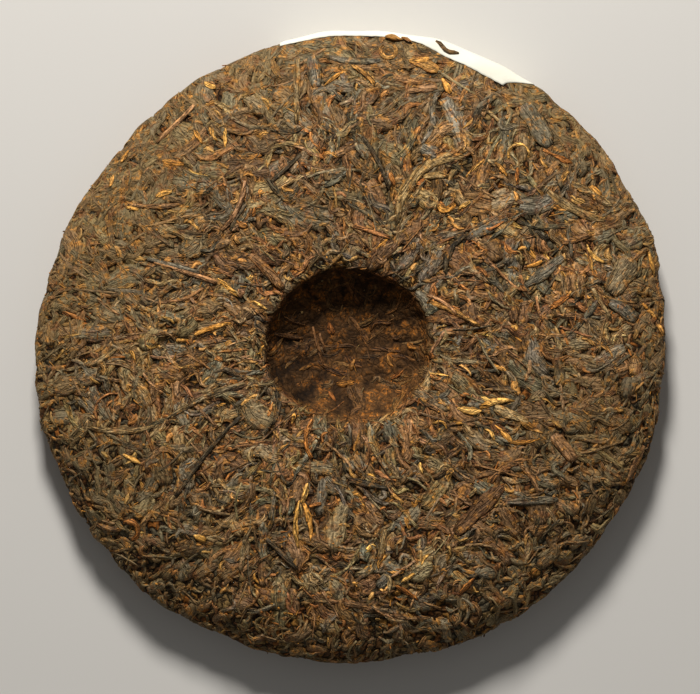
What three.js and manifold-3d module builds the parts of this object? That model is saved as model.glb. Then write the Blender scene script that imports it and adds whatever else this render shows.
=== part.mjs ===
// A pu erh tea cake: tea leaves steamed and pressed in a cloth bag into a round cake.
// The knot of the bag leaves a deep dimple in the back. The cake lies on its domed front
// with the back up, and a slip of white paper is folded over its rim.
// Millimetres, +Z up. The origin is under the middle of its outline, in the plane that it
// lies on, and +Y points to the edge where the paper is.
import * as THREE from "three";
import { mergeVertices } from "three/addons/utils/BufferGeometryUtils.js";
import Module from "manifold-3d";

const wasm = await Module();
wasm.setup();

// Size of the cake
const CAKE_RADIUS = 98;
const CAKE_HEIGHT = 24;
const RIM_LEVEL = 10.6; // height of the widest line of the rim
const DIMPLE_RADIUS = 26.5;
const DIMPLE_DEPTH = 12.5;
const DIMPLE_SHIFT = new THREE.Vector2(-1.1, 1.3); // the knot was a little off the middle
const DIMPLE_OVAL = new THREE.Vector2(-0.015, -0.09); // wider than it is long, as a share of its size
const FLAT_RADIUS = 60; // the flat middle of the front
const REST_SPOT_RADIUS = 9; // pressed smooth, in the middle of the front
const HOLLOW_UNDER = 0.8; // how far the surface between the leaves clears the table

// The outline isn't a true circle: one oval and one three-sided swelling
const OVAL = 1.5;
const OVAL_TURN = THREE.MathUtils.degToRad(48);
const THREE_SIDED = 0.65;
const THREE_SIDED_TURN = THREE.MathUtils.degToRad(-47);

// Uneven filling of the bag, and the smaller bumps of leaves under the surface
const LUMPS = { height: 0.45, spacing: [18, 38], waves: 9, seed: 1 };
const BUMPS = { height: 0.22, spacing: [9, 13], waves: 12, seed: 5 };

// Leaves that show, bedded in the surface
const LEAF_LIFT = [0.8, 1.4]; // how far a narrow and a broad leaf stand proud
const LEAF_WIDTH = [2.4, 4.6];
const LEAF_LENGTH = [11, 21];
const LEAF_BED = 1.1; // how far a leaf's edges reach below the surface
const LEAF_STEP = 6.5; // length of one straight stretch of a leaf
const BACK_LEAVES = 96;
const FRONT_LEAVES = 56;
const RIM_LEAVES = 30;
const RIDGE_CREST = [0]; // where a leaf is highest, across it in half widths
const FLATTENED_CREST = [-0.5, 0.5];

// The slip of paper, folded over the rim from the front on to the back
const PAPER_THICKNESS = 0.4;
const PAPER_GAP = 0.3;
const PAPER_REACH_BACK = 8.6; // at its right end, from the widest line of the rim, along the surface
const PAPER_REACH_LEFT = 2.8;
const PAPER_NARROWS = [0.05, 0.6]; // where between its ends it narrows
const PAPER_REACH_FRONT = 19;
const PAPER_RIGHT = THREE.MathUtils.degToRad(60.3);
const PAPER_SLANT = THREE.MathUtils.degToRad(4.8); // of the short edge at the right
const PAPER_LEFT = THREE.MathUtils.degToRad(103.5);
const PAPER_CELLS = [18, 7];
const SHRED = { x: 28.6, y: 91.9, heading: -33, length: 9.6, width: 1.7, bend: 12 };

const SEED = 358;

// A repeatable stream of numbers from 0 to 1
function randomStream(seed) {
  let state = seed >>> 0;
  return () => {
    state = (state + 0x6d2b79f5) >>> 0;
    let mixed = Math.imul(state ^ (state >>> 15), 1 | state);
    mixed = (mixed + Math.imul(mixed ^ (mixed >>> 7), 61 | mixed)) ^ mixed;
    return ((mixed ^ (mixed >>> 14)) >>> 0) / 4294967296;
  };
}

const { lerp, smoothstep, degToRad } = THREE.MathUtils;

// Half of the cake's section, from the dimple over the rim to the middle of the front
function halfSection() {
  const dimpleFloor = CAKE_HEIGHT - DIMPLE_DEPTH;
  const rimDrop = CAKE_HEIGHT - RIM_LEVEL;
  return new THREE.SplineCurve([
    new THREE.Vector2(0, dimpleFloor),
    new THREE.Vector2(0.35 * DIMPLE_RADIUS, dimpleFloor + 0.03 * DIMPLE_DEPTH),
    new THREE.Vector2(0.68 * DIMPLE_RADIUS, dimpleFloor + 0.2 * DIMPLE_DEPTH),
    new THREE.Vector2(0.86 * DIMPLE_RADIUS, dimpleFloor + 0.48 * DIMPLE_DEPTH),
    new THREE.Vector2(0.97 * DIMPLE_RADIUS, dimpleFloor + 0.82 * DIMPLE_DEPTH),
    new THREE.Vector2(1.07 * DIMPLE_RADIUS, dimpleFloor + 0.94 * DIMPLE_DEPTH),
    new THREE.Vector2(1.25 * DIMPLE_RADIUS, dimpleFloor + 0.98 * DIMPLE_DEPTH),
    new THREE.Vector2(0.43 * CAKE_RADIUS, CAKE_HEIGHT),
    new THREE.Vector2(0.62 * CAKE_RADIUS, CAKE_HEIGHT - 0.08 * rimDrop),
    new THREE.Vector2(0.79 * CAKE_RADIUS, CAKE_HEIGHT - 0.23 * rimDrop),
    new THREE.Vector2(0.91 * CAKE_RADIUS, CAKE_HEIGHT - 0.48 * rimDrop),
    new THREE.Vector2(0.975 * CAKE_RADIUS, CAKE_HEIGHT - 0.75 * rimDrop),
    new THREE.Vector2(CAKE_RADIUS, RIM_LEVEL),
    new THREE.Vector2(0.98 * CAKE_RADIUS, 0.62 * RIM_LEVEL),
    new THREE.Vector2(0.92 * CAKE_RADIUS, 0.35 * RIM_LEVEL),
    new THREE.Vector2(0.82 * CAKE_RADIUS, 0.17 * RIM_LEVEL),
    new THREE.Vector2(FLAT_RADIUS + 8, 1.1 * HOLLOW_UNDER),
    new THREE.Vector2(FLAT_RADIUS - 8, HOLLOW_UNDER),
    new THREE.Vector2(2 * REST_SPOT_RADIUS, HOLLOW_UNDER),
    new THREE.Vector2(1.35 * REST_SPOT_RADIUS, 0.5 * HOLLOW_UNDER),
    new THREE.Vector2(REST_SPOT_RADIUS, 0),
    new THREE.Vector2(0, 0),
  ]);
}

const SECTION = halfSection();
SECTION.arcLengthDivisions = 1200;
const SECTION_LENGTH = SECTION.getLength();
const SECTION_STEPS = 600;
const SECTION_POINTS = SECTION.getSpacedPoints(SECTION_STEPS);
const RIM_ARC = arcWhere((best, point) => point.x > best.x);
const FRONT_ARC = SECTION_LENGTH;

// Distance along the half section to the point that wins every comparison
function arcWhere(isBetter) {
  let best = 0;
  SECTION_POINTS.forEach((point, i) => {
    if (isBetter(SECTION_POINTS[best], point)) best = i;
  });
  return (best / SECTION_STEPS) * SECTION_LENGTH;
}

// Distance along the half section to a radius on the back, outside the dimple's floor
function arcAtRadiusOnBack(radius) {
  return arcWhere((best, point) =>
    point.y > RIM_LEVEL && Math.abs(point.x - radius) < Math.abs(best.x - radius));
}

// An uneven surface, as a sum of waves that run in many directions
function unevenness({ height, spacing, waves, seed }) {
  const random = randomStream(SEED + seed);
  const trains = Array.from({ length: waves }, () => ({
    direction: new THREE.Vector3(random() - 0.5, random() - 0.5, random() - 0.5).normalize()
      .multiplyScalar((2 * Math.PI) / lerp(spacing[0], spacing[1], random())),
    phase: 2 * Math.PI * random(),
  }));
  return (point) => trains.reduce((sum, train) =>
    sum + Math.sin(point.dot(train.direction) + train.phase), 0) * height * Math.sqrt(2 / waves);
}

const lumps = unevenness(LUMPS);
const bumps = unevenness(BUMPS);

// The point of the cake's skin at a distance along the half section and a turn round the
// axis, raised above it by lift
function skinPoint(arc, turn, lift = 0) {
  const along = THREE.MathUtils.clamp(arc / SECTION_LENGTH, 0, 1);
  const flat = SECTION.getPointAt(along);
  const tangent = SECTION.getTangentAt(along);
  const outline = 1 + ((flat.x / CAKE_RADIUS) ** 2 / CAKE_RADIUS)
    * (OVAL * Math.cos(2 * (turn - OVAL_TURN)) + THREE_SIDED * Math.cos(3 * (turn - THREE_SIDED_TURN)));
  const onBack = arc < RIM_ARC;
  const shift = onBack ? 1 - smoothstep(flat.x, DIMPLE_RADIUS, 2.6 * DIMPLE_RADIUS) : 0;
  const point = new THREE.Vector3(
    flat.x * (outline + shift * DIMPLE_OVAL.x) * Math.cos(turn) + shift * DIMPLE_SHIFT.x,
    flat.x * (outline + shift * DIMPLE_OVAL.y) * Math.sin(turn) + shift * DIMPLE_SHIFT.y,
    flat.y,
  );
  const normal = new THREE.Vector3(-tangent.y * Math.cos(turn), -tangent.y * Math.sin(turn), tangent.x);
  const onTable = onBack ? 0 : 1 - smoothstep(flat.x, FLAT_RADIUS - 5, FLAT_RADIUS + 20);
  const uneven = (lumps(point) + bumps(point)) * (1 - onTable);
  return point.addScaledVector(normal, lift + uneven);
}

// A closed solid from points and triangles, turned to face out
function solidOf(points, triangles) {
  const vertProperties = new Float32Array(points.flatMap((point) => [point.x, point.y, point.z]));
  const made = new wasm.Manifold(new wasm.Mesh({
    numProp: 3, vertProperties, triVerts: new Uint32Array(triangles.flat()),
  }));
  if (made.volume() > 0) return made;
  const turned = triangles.map(([a, b, c]) => [a, c, b]);
  return new wasm.Manifold(new wasm.Mesh({
    numProp: 3, vertProperties, triVerts: new Uint32Array(turned.flat()),
  }));
}

// How closely the surface is covered with triangles: closest in the dimple and at the rim
function coverWeight(point, arc) {
  if (arc < RIM_ARC && point.x < 1.3 * DIMPLE_RADIUS) return 2.6;
  if (point.x > 0.86 * CAKE_RADIUS) return 1.7;
  if (arc > RIM_ARC && point.x < FLAT_RADIUS) return 0.45;
  return 1;
}

// The pressed mass: a ball of even triangles, spread over the skin by weighted area
const CORE_DETAIL = 12;
function core() {
  const covered = [0];
  for (let i = 1; i <= SECTION_STEPS; i += 1) {
    const point = SECTION_POINTS[i];
    const arc = (i / SECTION_STEPS) * SECTION_LENGTH;
    covered.push(covered[i - 1] + (point.x + SECTION_POINTS[i - 1].x) * coverWeight(point, arc));
  }
  const whole = covered[SECTION_STEPS];
  const arcAtShare = (share) => {
    const next = Math.max(1, covered.findIndex((sum) => sum >= share * whole));
    const within = (share * whole - covered[next - 1]) / (covered[next] - covered[next - 1]);
    return ((next - 1 + within) / SECTION_STEPS) * SECTION_LENGTH;
  };
  const ball = new THREE.IcosahedronGeometry(1, CORE_DETAIL);
  ball.deleteAttribute("normal");
  ball.deleteAttribute("uv");
  const joined = mergeVertices(ball, 1e-4);
  const place = joined.getAttribute("position");
  const points = Array.from({ length: place.count }, (_, i) => {
    const share = THREE.MathUtils.clamp((1 - place.getZ(i)) / 2, 0, 1);
    return skinPoint(arcAtShare(share), Math.atan2(place.getY(i), place.getX(i)));
  });
  const corners = joined.index.array;
  const triangles = Array.from({ length: corners.length / 3 }, (_, i) =>
    [corners[3 * i], corners[3 * i + 1], corners[3 * i + 2]]);
  return solidOf(points, triangles);
}

// One leaf as a low strip that follows the skin and dives under it at both ends. It is
// laid out on the skin unrolled to a disc, whose middle is the middle of the back or front.
function leaf({ front = false, x, y, heading, length, width, bend, crest = RIDGE_CREST }, ground = 0) {
  const steps = Math.max(2, Math.round(length / LEAF_STEP));
  const share = THREE.MathUtils.clamp((width - LEAF_WIDTH[0]) / (LEAF_WIDTH[1] - LEAF_WIDTH[0]), 0, 1);
  const lift = lerp(LEAF_LIFT[0], LEAF_LIFT[1], share);
  const crestEnd = crest[crest.length - 1];
  const foot = crestEnd + (1 - crestEnd) * (1 + LEAF_BED / lift); // so its width is true at the surface
  const section = [[-foot, -LEAF_BED], ...crest.map((across) => [across, 1]), [foot, -LEAF_BED]];
  const sides = section.length;
  const points = [];
  const place = new THREE.Vector2(x, y);
  const turnPerStep = degToRad(bend) / steps;
  const stride = length / steps;
  let direction = degToRad(heading) - degToRad(bend) / 2;
  place.addScaledVector(new THREE.Vector2(Math.cos(degToRad(heading)), Math.sin(degToRad(heading))), -length / 2);
  for (let i = 0; i <= steps; i += 1) {
    const fullness = Math.sin(Math.PI * (0.12 + (0.76 * i) / steps));
    const left = new THREE.Vector2(-Math.sin(direction), Math.cos(direction));
    const atEnd = i === 0 || i === steps;
    const crown = atEnd ? -0.25 * lift : lift * fullness;
    const half = (width / 2) * fullness;
    for (const [across, height] of section) {
      const at = place.clone().addScaledVector(left, across * half);
      const arc = front ? FRONT_ARC - at.length() : at.length();
      points.push(skinPoint(arc, Math.atan2(at.y, at.x), ground + (height > 0 ? crown : height)));
    }
    direction += turnPerStep;
    place.add(new THREE.Vector2(Math.cos(direction), Math.sin(direction)).multiplyScalar(stride));
  }
  const triangles = [];
  const end = sides * steps;
  for (let corner = 1; corner < sides - 1; corner += 1) {
    triangles.push([0, corner, corner + 1], [end, end + corner + 1, end + corner]);
  }
  for (let i = 0; i < steps; i += 1) {
    for (let side = 0; side < sides; side += 1) {
      const a = sides * i + side;
      const b = sides * i + ((side + 1) % sides);
      triangles.push([a, a + sides, b], [b, a + sides, b + sides]);
    }
  }
  return solidOf(points, triangles);
}

// A leaf whose middle is given by its plan position on the back
function leafOnBack(spec) {
  const radius = Math.hypot(spec.x, spec.y);
  const stretch = arcAtRadiusOnBack(radius) / radius;
  return { crest: FLATTENED_CREST, ...spec, x: spec.x * stretch, y: spec.y * stretch };
}

// The leaves that stand out on the back: plan position, heading and bend in degrees, length, width
const MAIN_LEAVES = [
  { x: -56, y: 71, heading: 43, length: 19, width: 2.6, bend: 0 },
  { x: -17, y: 81, heading: 90, length: 22, width: 2.6, bend: -8 },
  { x: -52, y: 24, heading: -17, length: 22, width: 3, bend: -6 },
  { x: -35, y: 45, heading: 62, length: 18, width: 2.2, bend: -40 },
  { x: -20.5, y: 56, heading: 40, length: 15, width: 2.2, bend: 0 },
  { x: -26, y: 24, heading: -46, length: 17, width: 4, bend: 10 },
  { x: -43, y: 6, heading: 20, length: 13, width: 3.4, bend: 18 },
  { x: 24, y: 51, heading: 52, length: 30, width: 4.2, bend: -82 },
  { x: 68, y: 45, heading: -28, length: 22, width: 3.6, bend: 26 },
  { x: 58, y: 24, heading: 38, length: 17, width: 4.2, bend: 4 },
  { x: 30, y: 11, heading: -28, length: 20, width: 2.6, bend: -10 },
  { x: 35, y: 30, heading: 80, length: 16, width: 3, bend: -60 },
  { x: -68, y: -25, heading: 14, length: 32, width: 3, bend: 44 },
  { x: -43, y: -33, heading: 44, length: 30, width: 2.8, bend: -6 },
  { x: -22, y: -20, heading: 92, length: 16, width: 2.6, bend: 40 },
  { x: -15.5, y: -52, heading: 82, length: 17, width: 4.4, bend: 12 },
  { x: -13, y: -31, heading: 90, length: 13, width: 2.6, bend: 36 },
  { x: -22, y: -63, heading: -42, length: 17, width: 2.8, bend: 0 },
  { x: 42, y: -19, heading: 12, length: 19, width: 3.4, bend: 20 },
  { x: 52, y: -27, heading: 0, length: 16, width: 3, bend: 46 },
  { x: 38, y: -50, heading: 44, length: 24, width: 4.4, bend: -6 },
  { x: 56, y: -47, heading: 6, length: 17, width: 3.2, bend: 0 },
  { x: 9, y: -61, heading: 76, length: 12, width: 3.4, bend: 0 },
  { x: 67, y: 32, heading: 84, length: 12, width: 2.6, bend: 0 },
  { x: 12, y: -44.5, heading: -8, length: 15, width: 3, bend: -10 },
];

// Even spread of n leaves over a ring of the unrolled skin, along a golden-angle spiral
const GOLDEN_ANGLE = Math.PI * (3 - Math.sqrt(5));
function scatteredLeaves(count, innerArc, outerArc, front, seed) {
  const random = randomStream(SEED + seed);
  return Array.from({ length: count }, (_, i) => {
    const share = (i + 0.5) / count;
    const arc = Math.sqrt(lerp(innerArc ** 2, outerArc ** 2, share)) + 2 * (random() - 0.5);
    const turn = i * GOLDEN_ANGLE + 0.3 * (random() - 0.5);
    const size = random() ** 1.6;
    return {
      front,
      x: arc * Math.cos(turn),
      y: arc * Math.sin(turn),
      heading: 180 * random(),
      length: lerp(LEAF_LENGTH[0], LEAF_LENGTH[1], random()),
      width: lerp(LEAF_WIDTH[0], LEAF_WIDTH[1], size),
      bend: 70 * (random() - 0.5),
    };
  });
}

// True where a scattered leaf would lie on top of one of the main leaves
function crowded(spec, others) {
  return others.some((other) => Math.hypot(spec.x - other.x, spec.y - other.y) < 7);
}

function allLeaves() {
  const main = MAIN_LEAVES.map(leafOnBack);
  const lipArc = arcAtRadiusOnBack(1.15 * DIMPLE_RADIUS);
  const back = scatteredLeaves(BACK_LEAVES, lipArc, RIM_ARC - 12, false, 2);
  const rim = scatteredLeaves(RIM_LEAVES, RIM_ARC - 6, RIM_ARC + 2, false, 3);
  const front = scatteredLeaves(FRONT_LEAVES, 2.2 * REST_SPOT_RADIUS, FRONT_ARC - RIM_ARC - 6, true, 4);
  return [...main, ...back.filter((spec) => !crowded(spec, main)), ...rim, ...front];
}

// A patch of the skin under the slip of paper, as a solid from one lift to another
function paperPatch(lowLift, highLift, margin) {
  const [cellsAlong, cellsAcross] = PAPER_CELLS;
  const sheet = (lift) => {
    const points = [];
    for (let j = 0; j <= cellsAcross; j += 1) {
      const down = j / cellsAcross;
      const right = PAPER_RIGHT - PAPER_SLANT * smoothstep(down, 0, 0.32) - margin / CAKE_RADIUS;
      const left = PAPER_LEFT + margin / CAKE_RADIUS;
      for (let i = 0; i <= cellsAlong; i += 1) {
        const along = i / cellsAlong;
        const reach = lerp(PAPER_REACH_BACK, PAPER_REACH_LEFT, smoothstep(along, ...PAPER_NARROWS));
        const arc = RIM_ARC + lerp(-reach - margin, PAPER_REACH_FRONT + margin, down);
        points.push(skinPoint(arc, lerp(right, left, along), lift));
      }
    }
    return points;
  };
  const perRow = cellsAlong + 1;
  const perSheet = perRow * (cellsAcross + 1);
  const triangles = [];
  for (let j = 0; j < cellsAcross; j += 1) {
    for (let i = 0; i < cellsAlong; i += 1) {
      const a = j * perRow + i;
      triangles.push([a, a + 1, a + perRow], [a + 1, a + perRow + 1, a + perRow]);
    }
  }
  const topFaces = triangles.map(([a, b, c]) => [a + perSheet, c + perSheet, b + perSheet]);
  const edge = [];
  for (let i = 0; i < cellsAlong; i += 1) edge.push(i);
  for (let j = 0; j < cellsAcross; j += 1) edge.push(j * perRow + cellsAlong);
  for (let i = cellsAlong; i > 0; i -= 1) edge.push(cellsAcross * perRow + i);
  for (let j = cellsAcross; j > 0; j -= 1) edge.push(j * perRow);
  const wall = edge.flatMap((a, i) => {
    const b = edge[(i + 1) % edge.length];
    return [[a, a + perSheet, b], [b, a + perSheet, b + perSheet]];
  });
  return solidOf([...sheet(lowLift), ...sheet(highLift)], [...triangles, ...topFaces, ...wall]);
}

// Everything below the table, which presses the leaves of the front flat
function belowTable() {
  const block = new THREE.BoxGeometry(3 * CAKE_RADIUS, 3 * CAKE_RADIUS, 10);
  block.translate(0, 0, -5);
  block.deleteAttribute("normal");
  block.deleteAttribute("uv");
  const joined = mergeVertices(block, 1e-4);
  return new wasm.Manifold(new wasm.Mesh({
    numProp: 3,
    vertProperties: new Float32Array(joined.getAttribute("position").array),
    triVerts: new Uint32Array(joined.index.array),
  }));
}

function largestPiece(solid) {
  return solid.decompose().reduce((best, piece) => (piece.volume() > best.volume() ? piece : best));
}

function meshOf(name, solid, material) {
  const { vertProperties, triVerts } = solid.getMesh();
  const geometry = new THREE.BufferGeometry();
  geometry.setAttribute("position", new THREE.BufferAttribute(new Float32Array(vertProperties), 3));
  geometry.setIndex(new THREE.BufferAttribute(new Uint32Array(triVerts), 1));
  geometry.computeVertexNormals();
  const mesh = new THREE.Mesh(geometry, material);
  mesh.name = name;
  return mesh;
}

function teaCake() {
  const withLeaves = allLeaves().reduce((cake, spec) => cake.add(leaf(spec)), core());
  const paperBed = paperPatch(-PAPER_GAP, 6, PAPER_GAP);
  const pressed = withLeaves.subtract(paperBed).subtract(belowTable());
  const pressedLeaves = new THREE.MeshStandardMaterial({ color: 0x65492b, roughness: 0.72, metalness: 0 });
  return meshOf("tea_cake", largestPiece(pressed), pressedLeaves);
}

function paperSlip() {
  const slip = paperPatch(0, PAPER_THICKNESS, 0);
  const shred = leaf(leafOnBack(SHRED), PAPER_THICKNESS);
  const whitePaper = new THREE.MeshStandardMaterial({ color: 0xf6f3e6, roughness: 0.85, metalness: 0 });
  return meshOf("paper_slip", slip.add(shred.subtract(paperPatch(-6, 0.5 * PAPER_THICKNESS, 4))), whitePaper);
}

// Stands the middle of the outline over the origin
function centredOnOutline(group) {
  const middle = new THREE.Box3().setFromObject(group).getCenter(new THREE.Vector3());
  group.position.set(-middle.x, -middle.y, 0);
  return group;
}

const puErhTeaCake = new THREE.Group();
puErhTeaCake.name = "pu_erh_tea_cake";
puErhTeaCake.add(teaCake(), paperSlip());

export default centredOnOutline(puErhTeaCake);
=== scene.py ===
"""Looks of a pu erh tea cake: thousands of pressed leaves, stems and golden tips over a dark core,
lying back up, with a slip of white paper folded over the rim. Sizes are in millimetres until a
mesh is made, and +Y is the edge where the paper is."""

import math

import bmesh
import bpy
import numpy as np
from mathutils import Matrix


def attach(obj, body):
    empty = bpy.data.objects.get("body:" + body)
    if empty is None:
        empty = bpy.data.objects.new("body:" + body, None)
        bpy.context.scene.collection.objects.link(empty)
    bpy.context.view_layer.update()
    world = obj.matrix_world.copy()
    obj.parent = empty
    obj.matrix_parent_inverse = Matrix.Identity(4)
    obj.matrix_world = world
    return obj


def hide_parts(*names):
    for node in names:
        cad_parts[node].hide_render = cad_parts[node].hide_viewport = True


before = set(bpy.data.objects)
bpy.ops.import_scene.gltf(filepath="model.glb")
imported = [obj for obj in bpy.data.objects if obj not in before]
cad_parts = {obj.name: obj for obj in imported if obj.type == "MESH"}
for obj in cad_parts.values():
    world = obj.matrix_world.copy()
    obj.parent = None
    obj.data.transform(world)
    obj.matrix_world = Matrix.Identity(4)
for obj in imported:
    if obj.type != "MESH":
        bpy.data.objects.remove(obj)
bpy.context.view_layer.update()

MM = 0.001
SEED = 358

# Form of the cake, the same as the solid's
CAKE_RADIUS = 98.0
CAKE_HEIGHT = 24.0
RIM_LEVEL = 10.6  # height of the widest line of the rim
DIMPLE_RADIUS = 26.5
DIMPLE_DEPTH = 12.5
DIMPLE_SHIFT = (-1.1, 1.3)
DIMPLE_OVAL = (-0.015, -0.09)  # wider than it is long, as a share of its size
FLAT_RADIUS = 60.0  # the flat middle of the front, which lies on the table
REST_SPOT_RADIUS = 9.0
HOLLOW_UNDER = 0.8
TABLE_LEVEL = 0.02  # no part of the skin is lower
EVEN_ON_TABLE = (FLAT_RADIUS - 5, FLAT_RADIUS + 20)  # radii between which the front turns uneven
DIMPLE_SHIFT_ENDS = 2.6  # in dimple radii
AXIS = (0.72, -0.73)  # the cake's axis, from the middle of its outline
OVAL = (1.5, math.radians(48), 2)  # swelling, turn, number of lobes
THREE_SIDED = (0.65, math.radians(-47), 3)
LUMPS = {"height": 0.45, "spacing": (18, 38), "waves": 9, "seed": 1}
BUMPS = {"height": 0.22, "spacing": (9, 13), "waves": 12, "seed": 5}
CURVE_STEPS = 60  # between two points of the half section
SECTION_STEPS = 2400  # along all of it

# Radial creases that the gathered cloth pressed into the dimple
CREASES = 19
CREASE_DEPTH = 0.55
CREASE_REACH = (6.0, 33.0)  # along the skin from the middle of the back
CREASE_FADES = (9, 8)  # at its inner and its outer end
CREASE_WIDTHS = (0.035, 0.1)  # in radians round the axis
CREASE_WEIGHTS = (0.35, 1)
CREASE_LEAN = 0.012  # spread of its turn, in radians for each millimetre outwards

# How the leaves lie
BED = -0.75  # lift of the lowest leaves, below the skin
PRESSED_TO = 1.25  # most that leaves stand over the bed, after pressing
PRESSED_FLAT = 0.7
PRESSED_IN_DIMPLE = 0.4
RAISED_IN_DIMPLE = 0.72
LIP_FADE = (-1, 0.6)  # where the dimple's smear ends, from its lip
BARE_IN_DIMPLE = {"rolled": 0.72, "broad": 0.94, "golden": 0.85, "stem": 0.95}  # shares smeared away
PILE_CELL = 0.5
PILE_MARGIN = 12
COVER_STEP = 0.8  # in cells
PROUD = 0.2  # how much higher the strands that stand out lie
# Where the leaves are pressed smooth: middle, radius and how much
FLAT_PATCHES = [
    (-86, 28, 24, 1.0), (-66, 60, 22, 1.0), (65, 74, 15, 0.9), (75, -25, 19, 0.9), (-80, -42, 21, 0.9),
    (-24, 82, 15, 0.6), (55, -77, 18, 0.5), (16, 79, 12, 0.5), (-50, -69, 17, 0.5), (8, 62, 9, 0.5),
    (-14, 46, 9, 0.6),
]
RIM_FLAT = 0.8
RIM_FLAT_FROM = (22, 4)  # before the rim's widest line
FRONT_FLAT = 0.3
BACK_REACH = 128.0  # along the skin, from the middle of the back over the rim
FRONT_REACH = 88.0

# Slip of paper
PAPER_REACH_BACK = 8.6  # at its right end, from the widest line of the rim, along the surface
PAPER_REACH_LEFT = 2.8
PAPER_NARROWS = (0.05, 0.6)  # where between its ends it narrows
PAPER_REACH_FRONT = 19.0
PAPER_RIGHT = math.radians(60.3)
PAPER_SLANT = math.radians(4.8)
PAPER_LEFT = math.radians(103.5)
PAPER_THICKNESS = 0.15
PAPER_LIFT = 0.24
PAPER_DIP = (0.38, 1.6)  # how far its edges dip onto the leaves, and how soon
PAPER_DRAWN_IN = 0.6  # how much it presses the rim
PAPER_PRESSES = (9.0, 7)  # how far beside the paper, and before the rim's widest line
UNDER_PAPER = -0.2  # most that a leaf under the paper stands over the skin
PAPER_INSIDE = 0.4  # how far inside its edge a leaf is wholly under it
PAPER_SLANTS_TO = 0.32  # share of the way down
PAPER_RAGGED = 0.1
PAPER_SLACK = 0.06
PAPER_CELLS = (110, 44)
BITS_OVER_PAPER = 0.35

# The core under the leaves, and the crumbs over them
CORE_DETAIL = 7  # halvings of the ball's triangles
CORE_LIFT = -0.75  # from the skin
CORE_LIFT_IN_DIMPLE = 0
CORE_LIFT_UNDER_PAPER = -0.35
CORE_RELIEF = 1.7
CORE_LUMP = 3.0
CORE_SMOOTHER = {"dimple": 0.85, "paper": 0.9}  # how much less relief it has there
LOWEST = 0.03  # of the core, over the table
CRUMB_DENSITY = 0.06  # crumbs for each square millimetre
CRUMB_SIZE = 0.5
CRUMB_LIFT = -0.05
CRUMB_BED_CELL = 1.3
CRUMBS_ON_FRONT = 0.25
CRUMBS_OUT_OF_DIMPLE = 0.9  # how many fewer lie in it, as a share
STICK_LENGTH = 3.2
STICK_SHARE = 0.3
STICK_RADIUS = 0.6  # in flake sizes
CRUMB_TILT = 0.35  # radians
CRUMB_SCALES = ((0.45, 0.3, 0.25), (1.5, 0.95, 0.6))

# Painted shade and highlight on the leaves by how deep they lie, in millimetres below the leaves around:
# darker in the gaps, lighter on top
EVEN_CELLS = 3  # reach of the level around, in the pile's cells
SHADE_HIGH = 1.34
SHADE_FALL = 0.87
SHADE_DEPTHS = (-0.2, 1.2)
DARK_WARMTH = np.array([0.86, 1.08, 1.6])  # the dark parts keep more red than blue

# Painted shade where the leaves are pressed smooth or smeared: drawn to a level, by a share
FLAT_SHADE = (0.88, 0.55)
SMEARED_SHADE = (0.8, 0.35)
FLAT_TINT = 0.55  # how much of the mass's colour they take
FLAT_IF_PROUD = 0.3  # how much of this the strands that stand out take
DIMPLE_TINT = np.array([0.36, 0.27, 0.16])  # what the smear leaves of a strand's colour
SMEAR = (0.375, 0.258, 0.14)
SMEAR_SHARE = 0.45
DULLED_IF_PROUD = 0.72
# Painted light and shade on the smeared tea in the dimple: darker up to the left, lighter down to the
# right
DIMPLE_LIGHT = 0.87
DIMPLE_LIGHT_SLOPE = (0.014, -0.012)  # for each millimetre along x and y
DIMPLE_LIGHT_MIDDLE = -8  # along y
DIMPLE_LIGHT_SPAN = (-0.3, 0.35)

# Finish of the materials
PATCHY_WHERE_FLAT = 1.4  # how much more the leaves' patches show where they are pressed smooth
PATCHY_LOST_IN_SMEAR = 0.8
SHEEN = 0.22
CORE_SHEEN = 0.15
GOLDEN_PATCH = (0.76, 0.52, 0.23)
RED_PATCH = (0.49, 0.265, 0.115)
RUSTY_BLOTCH = (0.7, 0.43, 0.16)
PAPER_WHITES = ((0.915, 0.905, 0.84), (0.94, 0.93, 0.87))
FLOOR_GREYS = ((0.86, 0.85, 0.83), (0.89, 0.88, 0.86))
SPECKS = 1500  # grains for each metre, as all the next ones
GRAINS = 900
FIBRES = 700
BLOTCHES = 420
FLAKES = 400
WARM_PATCHES = 260
CRUMPLES = 230
SMEARS = 150
CLOUDS = 120
PAPER_CLOUDS = 90

# Camera and light
CAMERA_HEIGHT = 1.6
VIEW_WIDTH = 217.0  # across the picture, at the widest line of the rim
VIEW_MIDDLE = (-0.16, -0.07)
SENSOR_WIDTH = 36
FLOOR_SIZE = 4  # metres
WORLD_LIGHT = 0.1
WORLD_COLOUR = (1, 0.985, 0.96, 1)
LAMP_COLOUR = (1, 0.97, 0.93)
LIGHTS = [  # name, size, power and place in metres
    ("key", 0.22, 11.4, (-0.08, 0.79, 0.61)),
    ("fill", 0.9, 0.35, (0.3, -0.7, 0.9)),
]


# Numbers

def random_stream(seed):
    """The solid's own stream of numbers from 0 to 1."""
    mask = 0xFFFFFFFF
    state = seed & mask
    while True:
        state = (state + 0x6D2B79F5) & mask
        mixed = ((state ^ (state >> 15)) * (1 | state)) & mask
        mixed = ((mixed + (((mixed ^ (mixed >> 7)) * (61 | mixed)) & mask)) & mask) ^ mixed
        yield (mixed ^ (mixed >> 14)) / 4294967296


def smoothstep(value, low, high):
    share = np.clip((value - low) / (high - low), 0, 1)
    return share * share * (3 - 2 * share)


def lerp(low, high, share):
    return low + (high - low) * share


def linear(colour):
    """Linear light from a colour as it looks on a screen."""
    return tuple(((c + 0.055) / 1.055) ** 2.4 if c > 0.04045 else c / 12.92 for c in colour)


# The skin of the cake

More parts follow.
